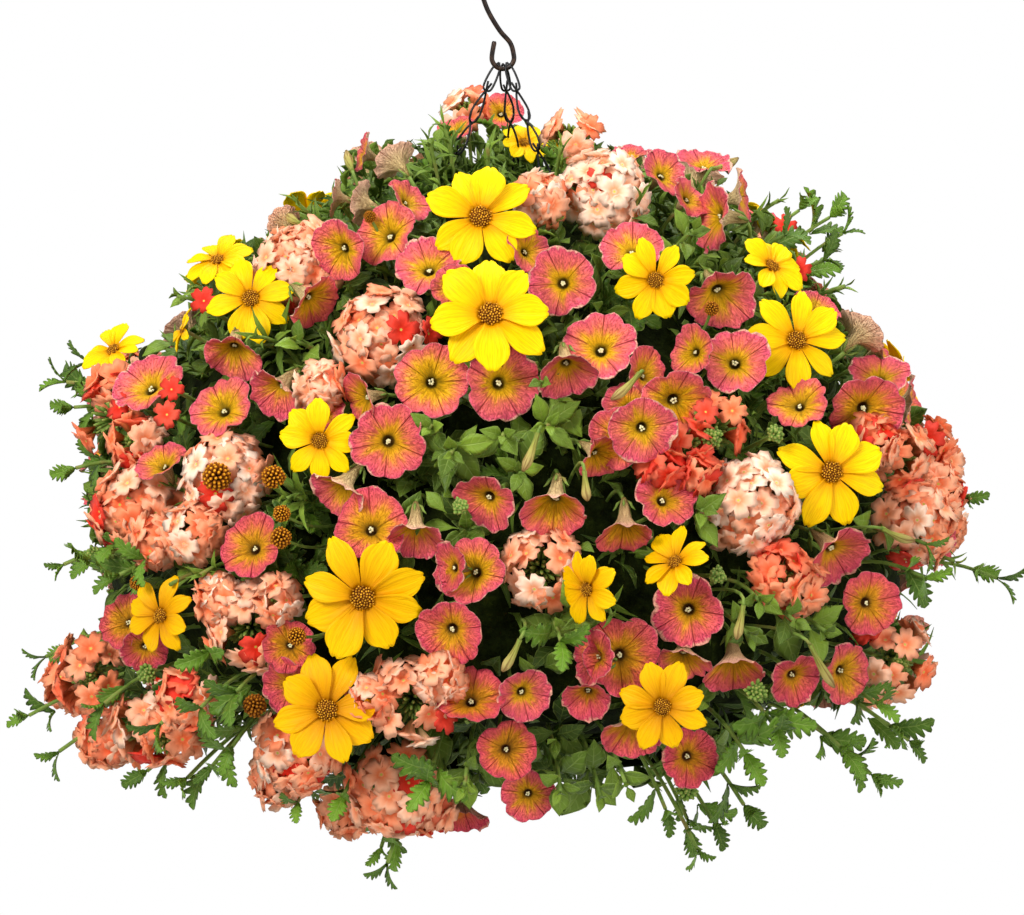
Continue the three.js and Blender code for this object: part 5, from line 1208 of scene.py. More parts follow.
FLORET_COLUMNS = 30
FLORET_RADIUS = 11.2
FULL_HEAD = 0.7  # from this fullness on a head is a dome of florets
LONE_FLORET = 0.1  # at this fullness a head is one floret, and at 0 only buds
LONE_FLORET_SIZE = 0.76  # as a share of a floret's usual size
# Buds on a thin head and on a full one: their count, and the height of the cap that they cover.
THIN_BUDS = (34, 0.75)
FULL_BUDS = (11, 1.4)
# Rows of a floret from its eye over the rim to its tube's end, as outward and forward shares of its radius.
FLORET_ROWS = np.array([(0.0, -0.1), (0.45, 0.03), (1.0, 0.06), (0.42, -0.13), (0.0, -0.95)])
# The florets' outline at each column of a petal, from the valley over its two rounded lobes.
FLORET_OUTLINE = np.array((0.56, 0.9, 1.0, 0.88, 1.0, 0.9))
# Each head by its pixel: how full it is from 0 to 1, and how deep coral from 0 to 1.
HEADS = {
    (606, 185): (1.0, 0.03), (755, 505): (1.0, 0.12), (798, 584): (0.6, 0.55), (290, 263): (0.85, 0.28),
    (380, 330): (0.95, 0.25), (219, 475): (0.95, 0.22), (128, 507): (0.85, 0.4), (103, 412): (0.35, 0.7),
    (243, 628): (0.6, 0.3), (83, 681): (0.42, 0.6), (140, 735): (0.45, 0.4), (292, 759): (0.75, 0.4),
    (393, 801): (0.7, 0.38), (410, 703): (0.55, 0.35), (541, 566): (0.6, 0.25), (715, 428): (0.3, 0.85),
    (905, 455): (0.5, 0.45), (925, 522): (0.75, 0.3), (901, 662): (0.5, 0.35), (572, 130): (0.25, 0.45),
}
REAR_HEAD = (0.8, 0.35)
FLORET_SHADES = np.array([colour(code)[:3] for code in ("ffdec6", "fcb28e", "f68c62", "ea5e48", "d8382a")])


def leaning(facing, lean, turn):
    """Directions leaning away from a facing direction."""
    side, up = frames_of(facing)
    around = np.cos(turn)[..., None] * side + np.sin(turn)[..., None] * up
    return np.cos(lean)[..., None] * facing + np.sin(lean)[..., None] * around


def spiral_directions(facing, count, reach):
    """Directions spread evenly, as on a sunflower, over a cap round the facing direction. `reach` is the
    cap's height on a ball of radius one."""
    index = np.arange(count)
    return leaning(facing, np.arccos(1 - (index + 0.5) / count * reach), index * GOLDEN_ANGLE)


def head_directions(facing, fullness, draw):
    """Where the florets of one head stand: rings round its middle, which stays bare on a thin head."""
    rings = [(0.0, 1), (0.5, 6), (0.92, 9), (1.32, 11)]
    if fullness <= LONE_FLORET:
        rings = [(0.2, 1)] if fullness else []
    elif fullness < FULL_HEAD:
        rings = [(0.62, 4), (1.0, 7), (1.36, 6)] if fullness > 0.4 else [(0.9, 5), (1.3, 5)]
    leans, turns = [], []
    for lean, count in rings:
        kept = max(1, round(count * min(1.0, 0.5 + fullness * 0.5)))
        turns.append(np.arange(kept) / kept * 2 * math.pi + draw.uniform(0, 6))
        leans.append(np.full(kept, lean) + draw.uniform(-0.08, 0.08, kept))
    lean, turn = np.concatenate([[]] + leans), np.concatenate([[]] + turns)
    return leaning(facing, lean, turn + draw.uniform(-0.1, 0.1, len(turn)))


def verbena_surfaces(group, draw):
    """Florets as closed skins: a flat five-petalled face, drawn in behind to a narrow tube that ends inside
    the head. Each face leans and waves a little by chance."""
    middles, facings, shades, stems, buds, sizes = [], [], [], [], [], []
    for flower in group:
        fullness, depth = flower["style"]
        directions = head_directions(flower["facing"], fullness, draw)
        heart = flower["centre"] - flower["facing"] * HEAD_HEART * flower["radius"]
        level = np.where(np.arange(len(directions)) % 2 == 0, 0.84, 0.96)[:, None]
        reach = flower["radius"] * level * draw.uniform(0.96, 1.06, (len(directions), 1))
        middles.append(heart + directions * reach)
        facings.append(unit(directions + draw.normal(0, 0.12, directions.shape)))
        sizes.append(np.full(len(directions), LONE_FLORET_SIZE if fullness <= LONE_FLORET else 1.0))
        level = np.clip(depth * 3.2 + draw.normal(0, 0.55, len(directions)), 0, 3.999)
        level = np.where(draw.uniform(0, 1, len(directions)) < 0.05, 3.9, level)
        low = level.astype(int)
        share = (level - low)[:, None]
        shades.append(FLORET_SHADES[low] * (1 - share) + FLORET_SHADES[np.minimum(low + 1, 4)] * share)
        stems.append(np.repeat(heart[None], len(directions), axis=0))
        bud_count, bud_reach = THIN_BUDS if fullness < FULL_HEAD else FULL_BUDS
        bud_way = spiral_directions(flower["facing"], bud_count, bud_reach)
        buds.append((np.repeat(heart[None], bud_count, axis=0), bud_way, flower["radius"] * 0.8))
    middle, facing, shade, stem = (np.concatenate(one) for one in (middles, facings, shades, stems))
    count = len(middle)
    angle = np.linspace(0, 2 * math.pi, FLORET_COLUMNS, endpoint=False) - math.pi / 5
    outline = np.tile(FLORET_OUTLINE, 5)[None]
    outline = outline * (1 + draw.uniform(-0.05, 0.05, (count, FLORET_COLUMNS)))
    wave = draw.uniform(-0.05, 0.05, (count, FLORET_COLUMNS))
    wave = wave + 0.11 * np.cos(2 * angle - draw.uniform(0, 6, (count, 1)))
    spread, rise = FLORET_ROWS[None, :, 0, None], FLORET_ROWS[None, :, 1, None]
    shape = np.where(spread == 1.0, outline[:, None], np.sqrt(outline[:, None]))
    size = FLORET_RADIUS * draw.uniform(0.88, 1.08, (count, 1, 1)) * np.concatenate(sizes)[:, None, None]
    out = spread * shape * size
    high = rise * size + wave[:, None] * size * spread
    local = np.stack([np.cos(angle) * out, np.sin(angle) * out, high + 0 * out], axis=-1)
    tone = np.concatenate([shade, np.ones((count, 1))], axis=1)
    florets = surface(placed(middle, facing, local), verbena_material, wraps=True, tone=tone)
    back = middle - facing * size[:, 0] * 0.9
    stalks = tubes(bezier(back, back * 0.6 + stem * 0.4, stem, 4), 0.55, 4)
    heart, way, long = (np.concatenate(one) for one in (
        [bud[0] for bud in buds], [bud[1] for bud in buds], [np.full(len(bud[0]), bud[2]) for bud in buds]))
    long = (long * draw.uniform(0.5, 0.85, len(long)))[:, None]
    paths = np.stack([heart + way * long * share for share in (0.1, 0.55, 0.8, 1.0)], axis=1)
    tinted = draw.uniform(0, 1, (len(long), 1)) * np.ones((1, 4))
    bud_widths = np.array((0.5, 0.8, 1.35, 0.6))[None]
    bunch = surface(tubes(paths, bud_widths, 5), bud_material, wraps=True, tone=tinted)
    return florets, [surface(stalks, stem_material, wraps=True), bunch]


verbena_material, tree, shader = new_material("verbena_floret", Roughness=0.6, Specular_IOR_Level=0.12)
_, along = uv_axes(tree)
cloud = noise(tree, object_place(tree), 240.0, 3.0)
shaded = blended(tree, maths(tree, "MULTIPLY", cloud, 0.4), tone_of(tree), colour("ffe9d8"), "SOFT_LIGHT")
depth_to_eye = ramp(tree, along, [
    (0.0, "ffffff"), (0.1, "f4b48c"), (0.22, "fce2d2"), (0.4, "ffffff"), (0.7, "efcdb4"), (1.0, "b8b070")])
shaded = blended(tree, 1.0, shaded, depth_to_eye, "MULTIPLY")
eye = sloped(tree, along, 0.03, 0.05, 1.0, 0.0)
feed(tree, shader, Base_Color=blended(tree, eye, shaded, colour("c9c552")),
     Normal=bumped(tree, cloud, 0.35, 0.5))

bud_material, tree, shader = new_material("verbena_bud", Roughness=0.6, Specular_IOR_Level=0.2)
_, along = uv_axes(tree)
tone = tone_of(tree, "Fac")
green = ramp(tree, along, [(0.0, "3f5e22"), (0.6, "6c8a34"), (0.85, "8fa24a"), (1.0, "c98a60")])
feed(tree, shader, Base_Color=blended(tree, maths(tree, "MULTIPLY", tone, 0.4), green, colour("47602a")))

verbena_draw = np.random.default_rng(93)
for name, group in sprays_of("verbena"):
    for flower in group:
        flower["style"] = HEADS.get(flower["pixel"], REAR_HEAD)
    florets, greens = verbena_surfaces(group, verbena_draw)
    add_piece(f"{name}_florets", [florets], replaced(name))
    add_piece(f"{name}_stalks", [*greens, stalks_of(group)], replaced(name))

# Small heads, single florets and buds between the full heads: x, y, span, fullness and depth of coral.
SMALL_HEADS = [
    (466, 106, 50, 0.3, 0.5), (474, 96, 26, 0.1, 1.2), (318, 383, 44, 0.5, 0.25), (172, 388, 34, 0.1, 1.3),
    (166, 413, 30, 0.1, 1.3), (188, 530, 62, 0.6, 0.35), (150, 540, 52, 0.45, 0.5),
    (664, 464, 40, 0.3, 0.9), (692, 440, 44, 0.3, 0.95), (733, 412, 30, 0.1, 0.9), (703, 412, 28, 0.1, 0.9),
    (106, 385, 44, 0.3, 0.6), (128, 438, 52, 0.4, 0.6), (945, 490, 58, 0.5, 0.45),
    (182, 702, 60, 0.5, 0.45), (100, 748, 56, 0.5, 0.45), (165, 745, 60, 0.4, 0.45),
    (345, 818, 56, 0.5, 0.4), (426, 816, 52, 0.5, 0.4), (276, 788, 52, 0.5, 0.4), (60, 690, 50, 0.4, 0.6),
    (785, 572, 60, 0.5, 0.75), (797, 268, 26, 0.1, 1.2), (785, 226, 24, 0.1, 1.3), (203, 300, 24, 0.1, 1.3),
    (590, 128, 30, 0.1, 0.9), (878, 440, 50, 0.5, 0.5), (598, 178, 24, 0.1, 1.2), (118, 408, 24, 0.1, 1.3),
    (700, 470, 34, 0.3, 0.9), (370, 700, 40, 0.4, 0.5), (440, 680, 44, 0.5, 0.4), (215, 600, 44, 0.5, 0.4),
    (275, 600, 40, 0.4, 0.4), (938, 440, 44, 0.3, 0.5), (300, 245, 60, 0.6, 0.3), (541, 192, 50, 0.5, 0.25),
    (760, 695, 44, 0, 0), (688, 798, 42, 0, 0), (720, 575, 36, 0, 0), (88, 555, 40, 0, 0),
    (779, 432, 36, 0, 0), (142, 675, 40, 0, 0), (83, 678, 44, 0, 0), (715, 434, 40, 0, 0),
    (905, 664, 36, 0, 0), (460, 505, 34, 0, 0)]
# The small heads above this pixel row stand behind the chains, by so many mm.
CHAINS_DOWN_TO = 110
BEHIND_CHAINS_BY = 100.0
small_group = []
for x, y, span, fullness, depth in SMALL_HEADS:
    flower = front_flower("verbena", x, y, span)
    away = flower["normal"] * (4 if fullness > LONE_FLORET else 12)
    flower["facing"] = unit(flower["normal"] * 0.7 - VIEW_FORWARD * 0.6)
    centre = flower["seat"] + away + VIEW_FORWARD * (BEHIND_CHAINS_BY if y < CHAINS_DOWN_TO else 0)
    flower.update(centre=on_pixels(centre, (x, y)), style=(fullness, depth))
    small_group.append(flower)
florets, greens = verbena_surfaces(small_group, verbena_draw)
add_piece("small_verbena_florets", [florets])
add_piece("small_verbena_stalks", [*greens, stalks_of(small_group)])
flowers += small_group

# ---------------------------------------------------------------- buds and spent flowers
# Closed and withered petunias are slim tan spindles, a spent bidens is a ball of its disc's florets, and its
# bud is a smaller ball. Each stands on a stalk like the open flowers.

# Spindles by the pixels of their two ends, first the green one.
SPINDLES = [
    ((712, 168), (738, 158)), ((884, 528), (916, 540)), ((812, 645), (836, 688)), ((640, 372), (612, 398)),
    ((520, 640), (502, 672)), ((538, 432), (523, 470)), ((745, 605), (738, 640)), ((585, 470), (588, 500)),
    ((352, 170), (346, 150)), ((300, 222), (286, 212))]
SPINDLE_WIDTHS = np.array((1.5, 1.4, 1.6, 2.0, 2.4, 2.8, 2.7, 1.9, 0.8))
SPINDLE_LIFT = 14.0
STEM_FOOT = CORE_INSET + 12.0  # how deep under the flowers a bud's or a shoot's stem starts
# Balls as x, y, span and how yellow from 0 to 1.
BALLS = [(215, 476, 27, 1.0), (279, 537, 20, 0.75), (253, 707, 22, 0.3), (272, 476, 22, 0.9),
         (280, 513, 16, 0.95), (295, 637, 17, 0.95), (713, 307, 14, 0.6), (369, 215, 12, 0.6),
         (135, 583, 14, 0.7)]
BALL_FLORETS = 90
BALL_CAP = 1.85  # how much of a ball its florets cover, where 2 is all of it
BALL_LIFT = 16.0

withered_material, tree, shader = new_material("withered_petunia", Roughness=0.8, Specular_IOR_Level=0.1)
around, along = uv_axes(tree)
length_colour = ramp(tree, along, [(0.0, "6c8a38"), (0.35, "9c9a48"), (0.7, "b4a060"), (1.0, "7c5434")])
folds = add_node(tree, "ShaderNodeCombineXYZ", {
    "X": maths(tree, "MULTIPLY", around, 14.0), "Y": maths(tree, "MULTIPLY", along, 2.0)})
fold = noise(tree, folds.outputs["Vector"], 1.0)
streak = sloped(tree, fold, 0.38, 0.52, 0.7, 0.0)
feed(tree, shader, Base_Color=blended(tree, streak, length_colour, colour("6a4a24")),
     Normal=bumped(tree, fold, 0.8, 1.0))

spindle_ends = [[seen_point(*pixel) for pixel in pair] for pair in SPINDLES]
first, last = (np.array([pair[end] for pair in spindle_ends]) for end in (0, 1))
first, last = (on_pixels(one + bush_normal(one) * SPINDLE_LIFT, np.array(SPINDLES)[:, end])
               for end, one in enumerate((first, last)))
middle = (first + last) / 2 + (0, 0, -3)
spindle_paths = bezier(first, middle, last, len(SPINDLE_WIDTHS))
spindles = surface(tubes(spindle_paths, SPINDLE_WIDTHS[None], 9), withered_material, wraps=True)
add_piece("withered_petunias", [spindles])
foot = core_under(first, STEM_FOOT)
spindle_stalks = tubes(bezier(first, first + unit(first - last) * 14, foot, 8), 1.0, 6)
add_piece("withered_stalks", [surface(spindle_stalks, stem_material, wraps=True)])

balls, ball_stalks = [], []
ball_draw = np.random.default_rng(3)
for x, y, span, yellow in BALLS:
    seat = seen_point(x, y)
    normal = bush_normal(seat)
    heart, size = on_pixels(seat + normal * BALL_LIFT, (x, y)), span / 2 * MM_PER_PIXEL
    way = spiral_directions(unit(normal - VIEW_FORWARD * 0.6), BALL_FLORETS, BALL_CAP)
    long = ball_draw.uniform(0.9, 1.05, (BALL_FLORETS, 1, 1))
    paths = heart + way[:, None] * (np.array((0.2, 0.75, 0.95, 1.0))[None, :, None] * long) * size
    widths = np.array((0.25, 0.8, 0.75, 0.3))[None] * size * 0.16
    shade = np.repeat(ball_draw.uniform(0.75, 1.0, (BALL_FLORETS, 1)) * yellow, 4, axis=1)
    balls.append(surface(tubes(paths, widths, 5), disc_material, wraps=True, tone=shade))
    start = heart[None] - normal * size * 0.3
    bend = start - normal * 18 + (6, 0, -6)
    stalk = tubes(bezier(start, bend, core_under(start, STEM_FOOT), 8), 0.9, 6)
    ball_stalks.append(surface(stalk, stem_material, wraps=True))
add_piece("bidens_seed_heads", balls)
add_piece("bidens_seed_stalks", ball_stalks)

# ---------------------------------------------------------------- foliage
# The inside of the dome is a tangle of stems, coloured near black as painted shade, and leaves of the three
# plants stand out of it: smooth ones of petunias, toothed ones of verbena and narrow ones of bidens. Leafy
# stems trail past the flowers.

CORE_SINK = 8.0
CORE_SIDES = 120
CORE_SKIRT = (-392, -474)  # the heights between which the core narrows to its hem
CORE_HEM_RADIUS = 152.0
CORE_HEM_Z = -486.0
CORE_ON_POT = (-468.0, POT_RIM_Z - RIM_THICKNESS - 1)  # the heights between which it lies on the pot
LEAF_ACROSS = np.array((-1.0, -0.5, 0.0, 0.5, 1.0, 0.0))  # the last one is the rib on the underside
LEAF_THICKNESS = 0.7
# Half widths along a leaf, as shares of its width: a petunia's smooth leaf and a bidens' narrow one.
SMOOTH_LEAF = np.array((0.05, 0.07, 0.22, 0.4, 0.5, 0.48, 0.36, 0.18, 0.0))
NARROW_LEAF = np.array((0.1, 0.36, 0.5, 0.4, 0.2, 0.0))
LOBES = (0.55, 0.85, 1.0, 0.88, 0.62)  # the width of each pair of a verbena leaf's lobes
LEAF_GREENS = {"smooth": ("30480e", "86a232"), "lobed": ("2c4610", "729a28"), "narrow": ("3e5c16", "88a636")}


def lobed_leaf():
    """A verbena leaf's half widths, and how far its edge is drawn toward the tip: narrow at the stalk, then
    one valley and a blunt lobe for each pair of lobes, then a rounded end."""
    half, drawn = [0.05, 0.05], [0.0, 0.0]
    for lobe in LOBES:
        half += [0.22 * lobe + 0.02, 0.43 * lobe, 0.5 * lobe, 0.42 * lobe]
        drawn += [0.0, 0.07, 0.1, 0.09]
    return np.array(half + [0.13, 0.2, 0.17, 0.0]), np.array(drawn + [0.02, 0.0, 0.0, 0.0])


def leaf_grids(root, along, face, length, width, form, draw):
    """Leaves as thin closed blades: half width by the form along the length, edges drawn toward the tip,
    folded at the midrib, arched up and curled down at the tip. The underside is one rib's line away."""
    half, drawn = form
    along = unit(along)
    face = unit(face - along * np.sum(face * along, axis=1, keepdims=True))
    side = np.cross(along, face)
    count, rows = len(root), len(half)
    b = LEAF_ACROSS[None, None]
    a = np.linspace(0, 1, rows)[None, :, None]
    length, width = length[:, None, None], width[:, None, None]
    run = (a + drawn[None, :, None] * b**2) * length
    out = half[None, :, None] * b * width * (1 + draw.uniform(-0.06, 0.06, (count, rows, 1)))
    curl = draw.uniform(0.02, 0.26, (count, 1, 1))
    high = (0.12 * np.sin(math.pi * a * 0.8) - curl * a**2) * length
    high = high + draw.uniform(0.05, 0.5, (count, 1, 1)) * np.abs(out)
    high = high + 0.014 * length * np.cos(a * 21 + draw.uniform(0, 6, (count, 1, 1))) * b**2
    high = high - LEAF_THICKNESS * (np.arange(len(LEAF_ACROSS)) == 5) * (a < 1) * (a > 0)
    run, out, high = (one[..., None] for one in np.broadcast_arrays(run, out, high))
    points = root[:, None, None] + along[:, None, None] * run + side[:, None, None] * out
    return points + face[:, None, None] * high


def leaf_tone(kind, count, draw, bright=0.0):
    """A green for each leaf between its kind's dark and light one."""
    dark, light = (np.array(colour(code)[:3]) for code in LEAF_GREENS[kind])
    share = np.clip(draw.beta(1.6, 1.9, (count, 1)) + bright, 0, 1.2)
    return np.concatenate([dark * (1 - share) + light * share, np.ones((count, 1))], axis=1)


def clear_of_flowers(points, room=0.92):
    """Whether all points of each leaf (copies, points, 3) keep out of the space in front of every flower."""
    clear = np.ones(len(points), bool)
    for flower in flowers:
        offset = points - flower["centre"]
        forward = offset @ flower["facing"]
        outward = np.linalg.norm(offset - forward[..., None] * flower["facing"], axis=-1)
        radius = flower["radius"]
        if flower["kind"] == "verbena":
            inside = np.hypot(outward, forward + HEAD_HEART * radius) < radius * 0.98
        elif flower["kind"] == "bidens":
            inside = (outward < radius * room) & (forward > -2) & (forward < radius * 0.5)
        else:
            inside = (outward < radius * room) & (forward > -0.5 * radius * (1 - outward / radius) - 1) & (
                forward < radius * 0.6)
        clear &= ~inside.any(axis=1)
    return clear


leaf_material, tree, shader = new_material("leaf_blade", Roughness=0.5, Specular_IOR_Level=0.22)
across, along = uv_axes(tree)
upper = maths(tree, "MULTIPLY", near_middle(tree, across, 1 / 3), 1.5)
under = maths(tree, "MULTIPLY", near_middle(tree, across, 5 / 6), 3.0)
from_rib = maths(tree, "MINIMUM", upper, under)  # 0 on the midrib, 0.5 on the edge, on both sides
rib = sloped(tree, from_rib, 0.0, 0.045, 1.0, 0.0)
slanted = maths(tree, "MULTIPLY_ADD", along, 6.0, maths(tree, "MULTIPLY", from_rib, -2.4))
slanted = maths(tree, "FRACT", slanted)
side_vein = sloped(tree, near_middle(tree, slanted), 0.0, 0.13, 0.55, 0.0)
veins = maths(tree, "MAXIMUM", rib, side_vein)
patch = noise(tree, object_place(tree), 130.0, 3.0)
green = blended(tree, maths(tree, "MULTIPLY", patch, 0.4), tone_of(tree), colour("263e12"))
margin = sloped(tree, from_rib, 0.42, 0.5, 0.0, 0.5)
paler = maths(tree, "MAXIMUM", maths(tree, "MULTIPLY", veins, 0.36), margin)
green = blended(tree, paler, green, colour("aabf60"))
relief = maths(tree, "MULTIPLY_ADD", veins, -0.7, patch)
feed(tree, shader, Base_Color=green, Normal=bumped(tree, relief, 0.6, 0.8),
     Roughness=maths(tree, "MULTIPLY_ADD", patch, 0.25, 0.38))

# The core's near-black greens are painted shade deep inside the growth, over a noise that stands for the
# tangled stems.
core_material, tree, shader = new_material("inner_growth_painted_shade", Roughness=0.9, Specular_IOR_Level=0.05)
tangle = noise(tree, object_place(tree), 70.0, 6.0, 0.75)
feed(tree, shader, Base_Color=ramp(tree, tangle, [(0.35, "080b03"), (0.55, "222b0c"), (0.75, "425018")]),
     Normal=bumped(tree, tangle, 1.0, 6.0))

pot_side = [(POT_BASE_RADIUS + (POT_RIM_RADIUS - POT_BASE_RADIUS) * (z - POT_BASE_Z) / POT_HEIGHT + 1.5, z)
            for z in CORE_ON_POT]
core_inset = CORE_INSET + CORE_SINK
core_levels = np.concatenate([np.linspace(BUSH_WAIST_Z + BUSH_RISE - core_inset - 0.5, BUSH_WAIST_Z, 22),
                              np.linspace(*CORE_SKIRT, 9)])
core_profile = [(0, core_levels[0] + 0.4)]
core_profile += [(float(bush_point(0.0, z, core_inset)[1] * -1), z) for z in core_levels]
core_profile += [
    (CORE_HEM_RADIUS, CORE_HEM_Z + 2), (pot_side[0][0] + 12, CORE_HEM_Z + 2), pot_side[0], pot_side[1],
    (flange_radius + 1, under_rim - 1), (flange_radius + 1, POT_RIM_Z + 0.5),
    (soil_edge - 2, soil_top + SOIL_CROWN + 0.6), (0, soil_top + SOIL_CROWN + 0.6)]
core = turned(core_profile, CORE_SIDES)[0]
x, y, z = (core[..., axis] for axis in range(3))
lumps = np.sin(x / 17 + 2 * np.sin(z / 23)) + np.sin(y / 15 - z / 19) + np.sin((x + y) / 9 + z / 11)
outer_rows = np.arange(len(core_profile)) <= len(core_levels)
core_grow = 1 + 0.014 * lumps * outer_rows[:, None]
core[..., :2] *= core_grow[..., None]
core[0] = core[0].mean(axis=0)
add_piece("inner_growth_painted_shade", [surface(core[None], core_material, wraps=True)], ["foliage"])

# For each kind: the leaves on a shoot, the turn and the gap in mm between leaves, the lean at the tip and
# further down in degrees, the lengths there in mm, and a leaf's width as a share of its length.
SHOOTS = {
    "smooth": (7, 137.5, 4.6, (28, 80), (10, 27), 0.5),
    "lobed": (6, 180.0, 8.5, (35, 66), (19, 34), 0.62),
    "narrow": (12, 137.5, 4.0, (22, 62), (14, 34), 0.16),
}
SHOOTS_ABOVE = 0.64  # the share of the scattered shoots that stand above the dome's waist
SHOOTS_DROP = 142.0  # how far below the waist the lowest one is
FORMS = {"smooth": (SMOOTH_LEAF, np.zeros(9)), "narrow": (NARROW_LEAF, np.zeros(6)), "lobed": lobed_leaf()}


def shoot_leaves(kind, tips, ways, draw, bright=0.0, size=1.0):
    """The leaves of leafy shoots that end at the tips: small steep ones at the tip and larger flatter ones
    further down, turned about the shoot. Lobed leaves stand in pairs."""
    count, turn, gap, leans, lengths, slim = SHOOTS[kind]
    place = np.arange(count)
    share = (place / (count - 1))[None]
    turns = np.radians(turn) * place[None] + (place // 2 * math.pi / 2)[None] * (turn == 180)
    turns = turns + draw.uniform(0, 6, (len(tips), 1)) + draw.uniform(-0.25, 0.25, (len(tips), count))
    lean = np.radians(leans[0] + (leans[1] - leans[0]) * share)
    lean = lean + draw.uniform(-0.15, 0.15, (len(tips), count))
    ways = np.repeat(ways[:, None], count, axis=1)
    level = place // 2 * 2 if turn == 180 else place
    root = tips[:, None] - ways * (gap * level)[None, :, None]
    along = leaning(ways, lean, turns)
    length = (lengths[0] + (lengths[1] - lengths[0]) * share) * draw.uniform(0.85, 1.15, lean.shape) * size
    root, along, ways = (one.reshape(-1, 3) for one in (root, along, ways))
    length = length.reshape(-1)
    grids = leaf_grids(root, along, ways, length, length * slim * draw.uniform(0.85, 1.15, len(length)),
                       FORMS[kind], draw)
    tone = leaf_tone(kind, len(length), draw, bright)
    return grids, tone


def scattered_shoots(kind, count, sink, seed, limit):
    """Shoots of one kind all over the dome, with their tips `sink` under its surface. Leaves that would cover
    a flower or a chain, touch the pot or reach past `limit` of the dome are left out."""
    draw = np.random.default_rng(seed)
    goes_up = draw.uniform(0, 1, count) < SHOOTS_ABOVE
    rise = draw.uniform(0, 1, count) ** 0.8 * BUSH_RISE * 0.97
    drop = draw.uniform(0, 1, count) ** 0.5 * SHOOTS_DROP
    z = BUSH_WAIST_Z + np.where(goes_up, rise, -drop)
    depth = draw.uniform(*sink, count)
    z = np.minimum(z, BUSH_WAIST_Z + BUSH_RISE - depth - 3)
    angle = draw.uniform(0, 2 * math.pi, count)
    tips = np.concatenate([
        bush_point(one, level, inset)[None] for one, level, inset in zip(angle, z, depth)])
    normal = bush_normal(tips)
    side, up = frames_of(normal)
    ways = unit(normal + side * draw.normal(0, 0.5, (count, 1)) + up * draw.normal(0.15, 0.45, (count, 1)))
    grids, tone = shoot_leaves(kind, tips, ways, draw)
    flat = grids.reshape(len(grids), -1, 3)
    share = bush_share(flat)
    pot_slope = (POT_RIM_RADIUS - POT_BASE_RADIUS) / POT_HEIGHT
    pot_radius = POT_BASE_RADIUS + (flat[..., 2] - POT_BASE_Z) * pot_slope + 6
    by_pot = (np.hypot(flat[..., 0], flat[..., 1]) < pot_radius) & (flat[..., 2] < POT_RIM_Z + 3)
    kept = clear_of_flowers(flat[:, ::2]) & (share.max(axis=1) < limit) & clear_of_chains(flat[:, ::3])
    kept &= ~by_pot.any(axis=1)
    # Leaves that lie deeper inside the dome are painted darker, as painted shade.
    shade = np.clip(0.35 + 0.75 * (share.max(axis=1) - 0.55) / 0.4, 0.35, 1.05)
    tone[:, :3] *= shade[:, None]
    return grids[kept], tone[kept]


CHAIN_ROOM = 9.0  # pixels either side of a strand that leaves keep clear, down to the last shown link
CHAIN_SHOWN = {
    "left": ((500, 78), (462, 168)), "rear": ((506, 85), (518, 172)), "right": ((507, 78), (553, 214))}


def clear_of_chains(points):
    """Whether all points of each leaf keep off the strands that the camera sees, or lie behind them."""
    pixel = seen_pixels(points)
    clear = np.ones(len(points), bool)
    for (x0, y0), (x1, y1) in CHAIN_SHOWN.values():
        middle = x0 + (pixel[..., 1] - y0) / (y1 - y0) * (x1 - x0)
        near = (np.abs(pixel[..., 0] - middle) < CHAIN_ROOM) & (pixel[..., 1] > y0) & (pixel[..., 1] < y1)
        clear &= ~(near & (points[..., 1] < 20)).any(axis=1)
    return clear


# Shoots that hang or stand out past the flowers, as (x pixel, y pixel, share of the usual leaf size).
STRAYS = {
    "smooth": [
        (465, 780, 1.0), (600, 790, 1.1), (560, 785, 1.1), (625, 780, 1.0), (335, 200, 0.7),
        (182, 300, 0.8), (690, 235, 1.0), (548, 428, 1.1), (452, 455, 1.1), (503, 438, 1.0),
        (541, 385, 1.15), (520, 475, 0.9), (430, 430, 0.9), (790, 620, 1.2), (755, 600, 1.2),
        (745, 635, 1.1), (820, 630, 1.0), (580, 625, 1.0), (700, 512, 1.1), (300, 345, 1.2),
    ],
    "lobed": [
        (34, 711, 0.75), (63, 746, 0.9), (52, 655, 0.7), (190, 772, 1.0), (216, 760, 0.9), (236, 742, 0.9),
        (150, 765, 0.8), (110, 700, 0.9), (165, 720, 1.0), (205, 705, 1.1), (388, 856, 0.8),
        (382, 840, 0.7), (430, 775, 1.1), (345, 790, 0.9), (300, 795, 0.7), (696, 842, 0.7),
        (742, 798, 0.9), (686, 812, 0.7), (836, 742, 1.0), (772, 724, 1.1), (742, 748, 1.1),
        (664, 802, 1.0), (712, 815, 0.8), (868, 768, 0.9), (884, 722, 1.1), (905, 735, 0.7),
        (870, 700, 0.9), (990, 578, 0.9), (918, 578, 0.9), (920, 545, 0.8), (955, 500, 0.7),
        (825, 222, 1.0), (838, 238, 0.8), (818, 265, 0.9), (795, 215, 0.8), (72, 385, 0.9), (80, 410, 0.8),
        (95, 365, 0.9), (82, 470, 0.8), (70, 565, 0.7), (100, 560, 0.9), (125, 575, 1.1), (150, 560, 1.1),
        (175, 585, 1.1), (120, 545, 0.8), (780, 240, 0.9), (560, 640, 1.0), (240, 690, 1.2),
        (215, 650, 1.1),
    ],
    "narrow": [
        (948, 562, 0.8), (775, 205, 0.8), (205, 575, 1.0), (445, 130, 0.9), (430, 145, 0.9),
        (488, 150, 1.1), (300, 208, 0.8), (200, 290, 1.0), (560, 150, 0.8), (840, 290, 0.7),
        (640, 200, 1.0), (610, 615, 1.0), (260, 340, 1.1), (290, 500, 1.1), (780, 310, 1.0),
    ],
}
STRAY_LEAVES = {"smooth": 7, "lobed": 4, "narrow": 10}  # the leaves on one such shoot


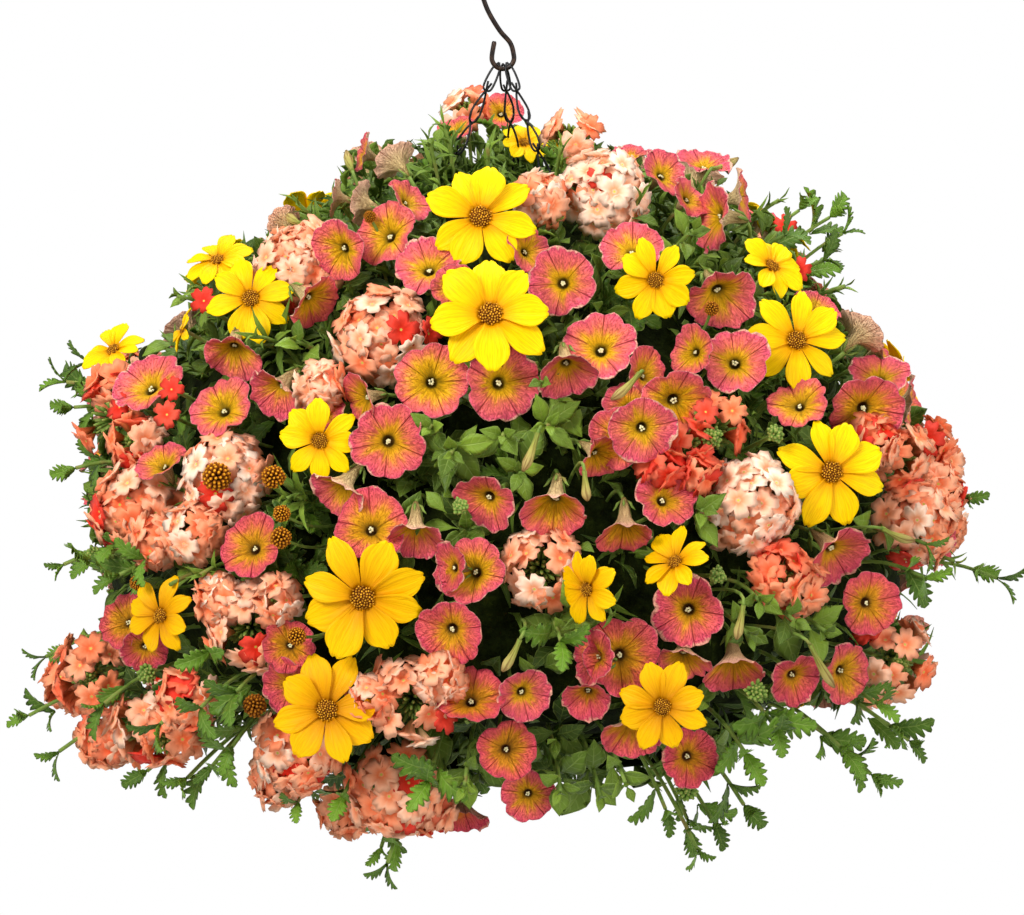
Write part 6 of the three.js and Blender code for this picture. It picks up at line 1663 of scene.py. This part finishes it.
def stray_shoots(kind, draw):
    """Shoots at the listed pixels, and a stem from the dome to each."""
    tips = np.array([seen_point(x, y) for x, y, _ in STRAYS[kind]])
    foot = core_under(tips, STEM_FOOT)
    normal = bush_normal(tips)
    ways = unit(unit(tips - foot) + np.array((0.0, -0.35, -0.15)) + draw.normal(0, 0.18, tips.shape))
    tips = tips + normal * 4
    grids, tones = [], []
    for tip, way, (_, _, size) in zip(tips, ways, STRAYS[kind]):
        blades, tone = shoot_leaves(kind, tip[None], way[None], draw, bright=0.2, size=size)
        blades, tone = blades[:STRAY_LEAVES[kind]], tone[:STRAY_LEAVES[kind]]
        flat = blades.reshape(len(blades), -1, 3)
        kept = clear_of_flowers(flat[:, ::2], 0.7) & clear_of_chains(flat[:, ::3])
        grids.append(blades[kept])
        tones.append(tone[kept])
    bend = (tips + foot) / 2 + (0, 0, 14) - ways * 10
    stems = tubes(bezier(foot, bend, tips, 9), 1.2, 6)
    return np.concatenate(grids), np.concatenate(tones), surface(stems, stem_material, wraps=True)


# How many shoots of each kind, how deep their tips lie in mm, the seed, and how far out their leaves reach.
SCATTER = {
    "smooth": (720, (4, 46), 11, 0.985),
    "lobed": (260, (8, 46), 23, 0.95),
    "narrow": (350, (12, 46), 37, 0.92),
}
leaf_sets = {kind: scattered_shoots(kind, *rule) for kind, rule in SCATTER.items()}
stray_draw = np.random.default_rng(5)
stray_stems = []
for kind, (grids, tone) in leaf_sets.items():
    kept = inside_outline(grids[:, ::3].reshape(len(grids), -1, 3))
    blades, blade_tone, stems = stray_shoots(kind, stray_draw)
    leaf_sets[kind] = (np.concatenate([grids[kept], blades]), np.concatenate([tone[kept], blade_tone]))
    stray_stems.append(stems)
add_piece("stray_stems", stray_stems, ["foliage"])
for kind, (grids, tone) in leaf_sets.items():
    rear, right = grids[:, 0, 0, 1] > 0, grids[:, 0, 0, 0] > 0
    for side, chosen in (("front_left", ~rear & ~right), ("front_right", ~rear & right),
                         ("rear_left", rear & ~right), ("rear_right", rear & right)):
        blades = surface(grids[chosen], leaf_material, wraps=True, tone=tone[chosen])
        add_piece(f"{kind}_leaves_{side}", [blades], ["foliage"])
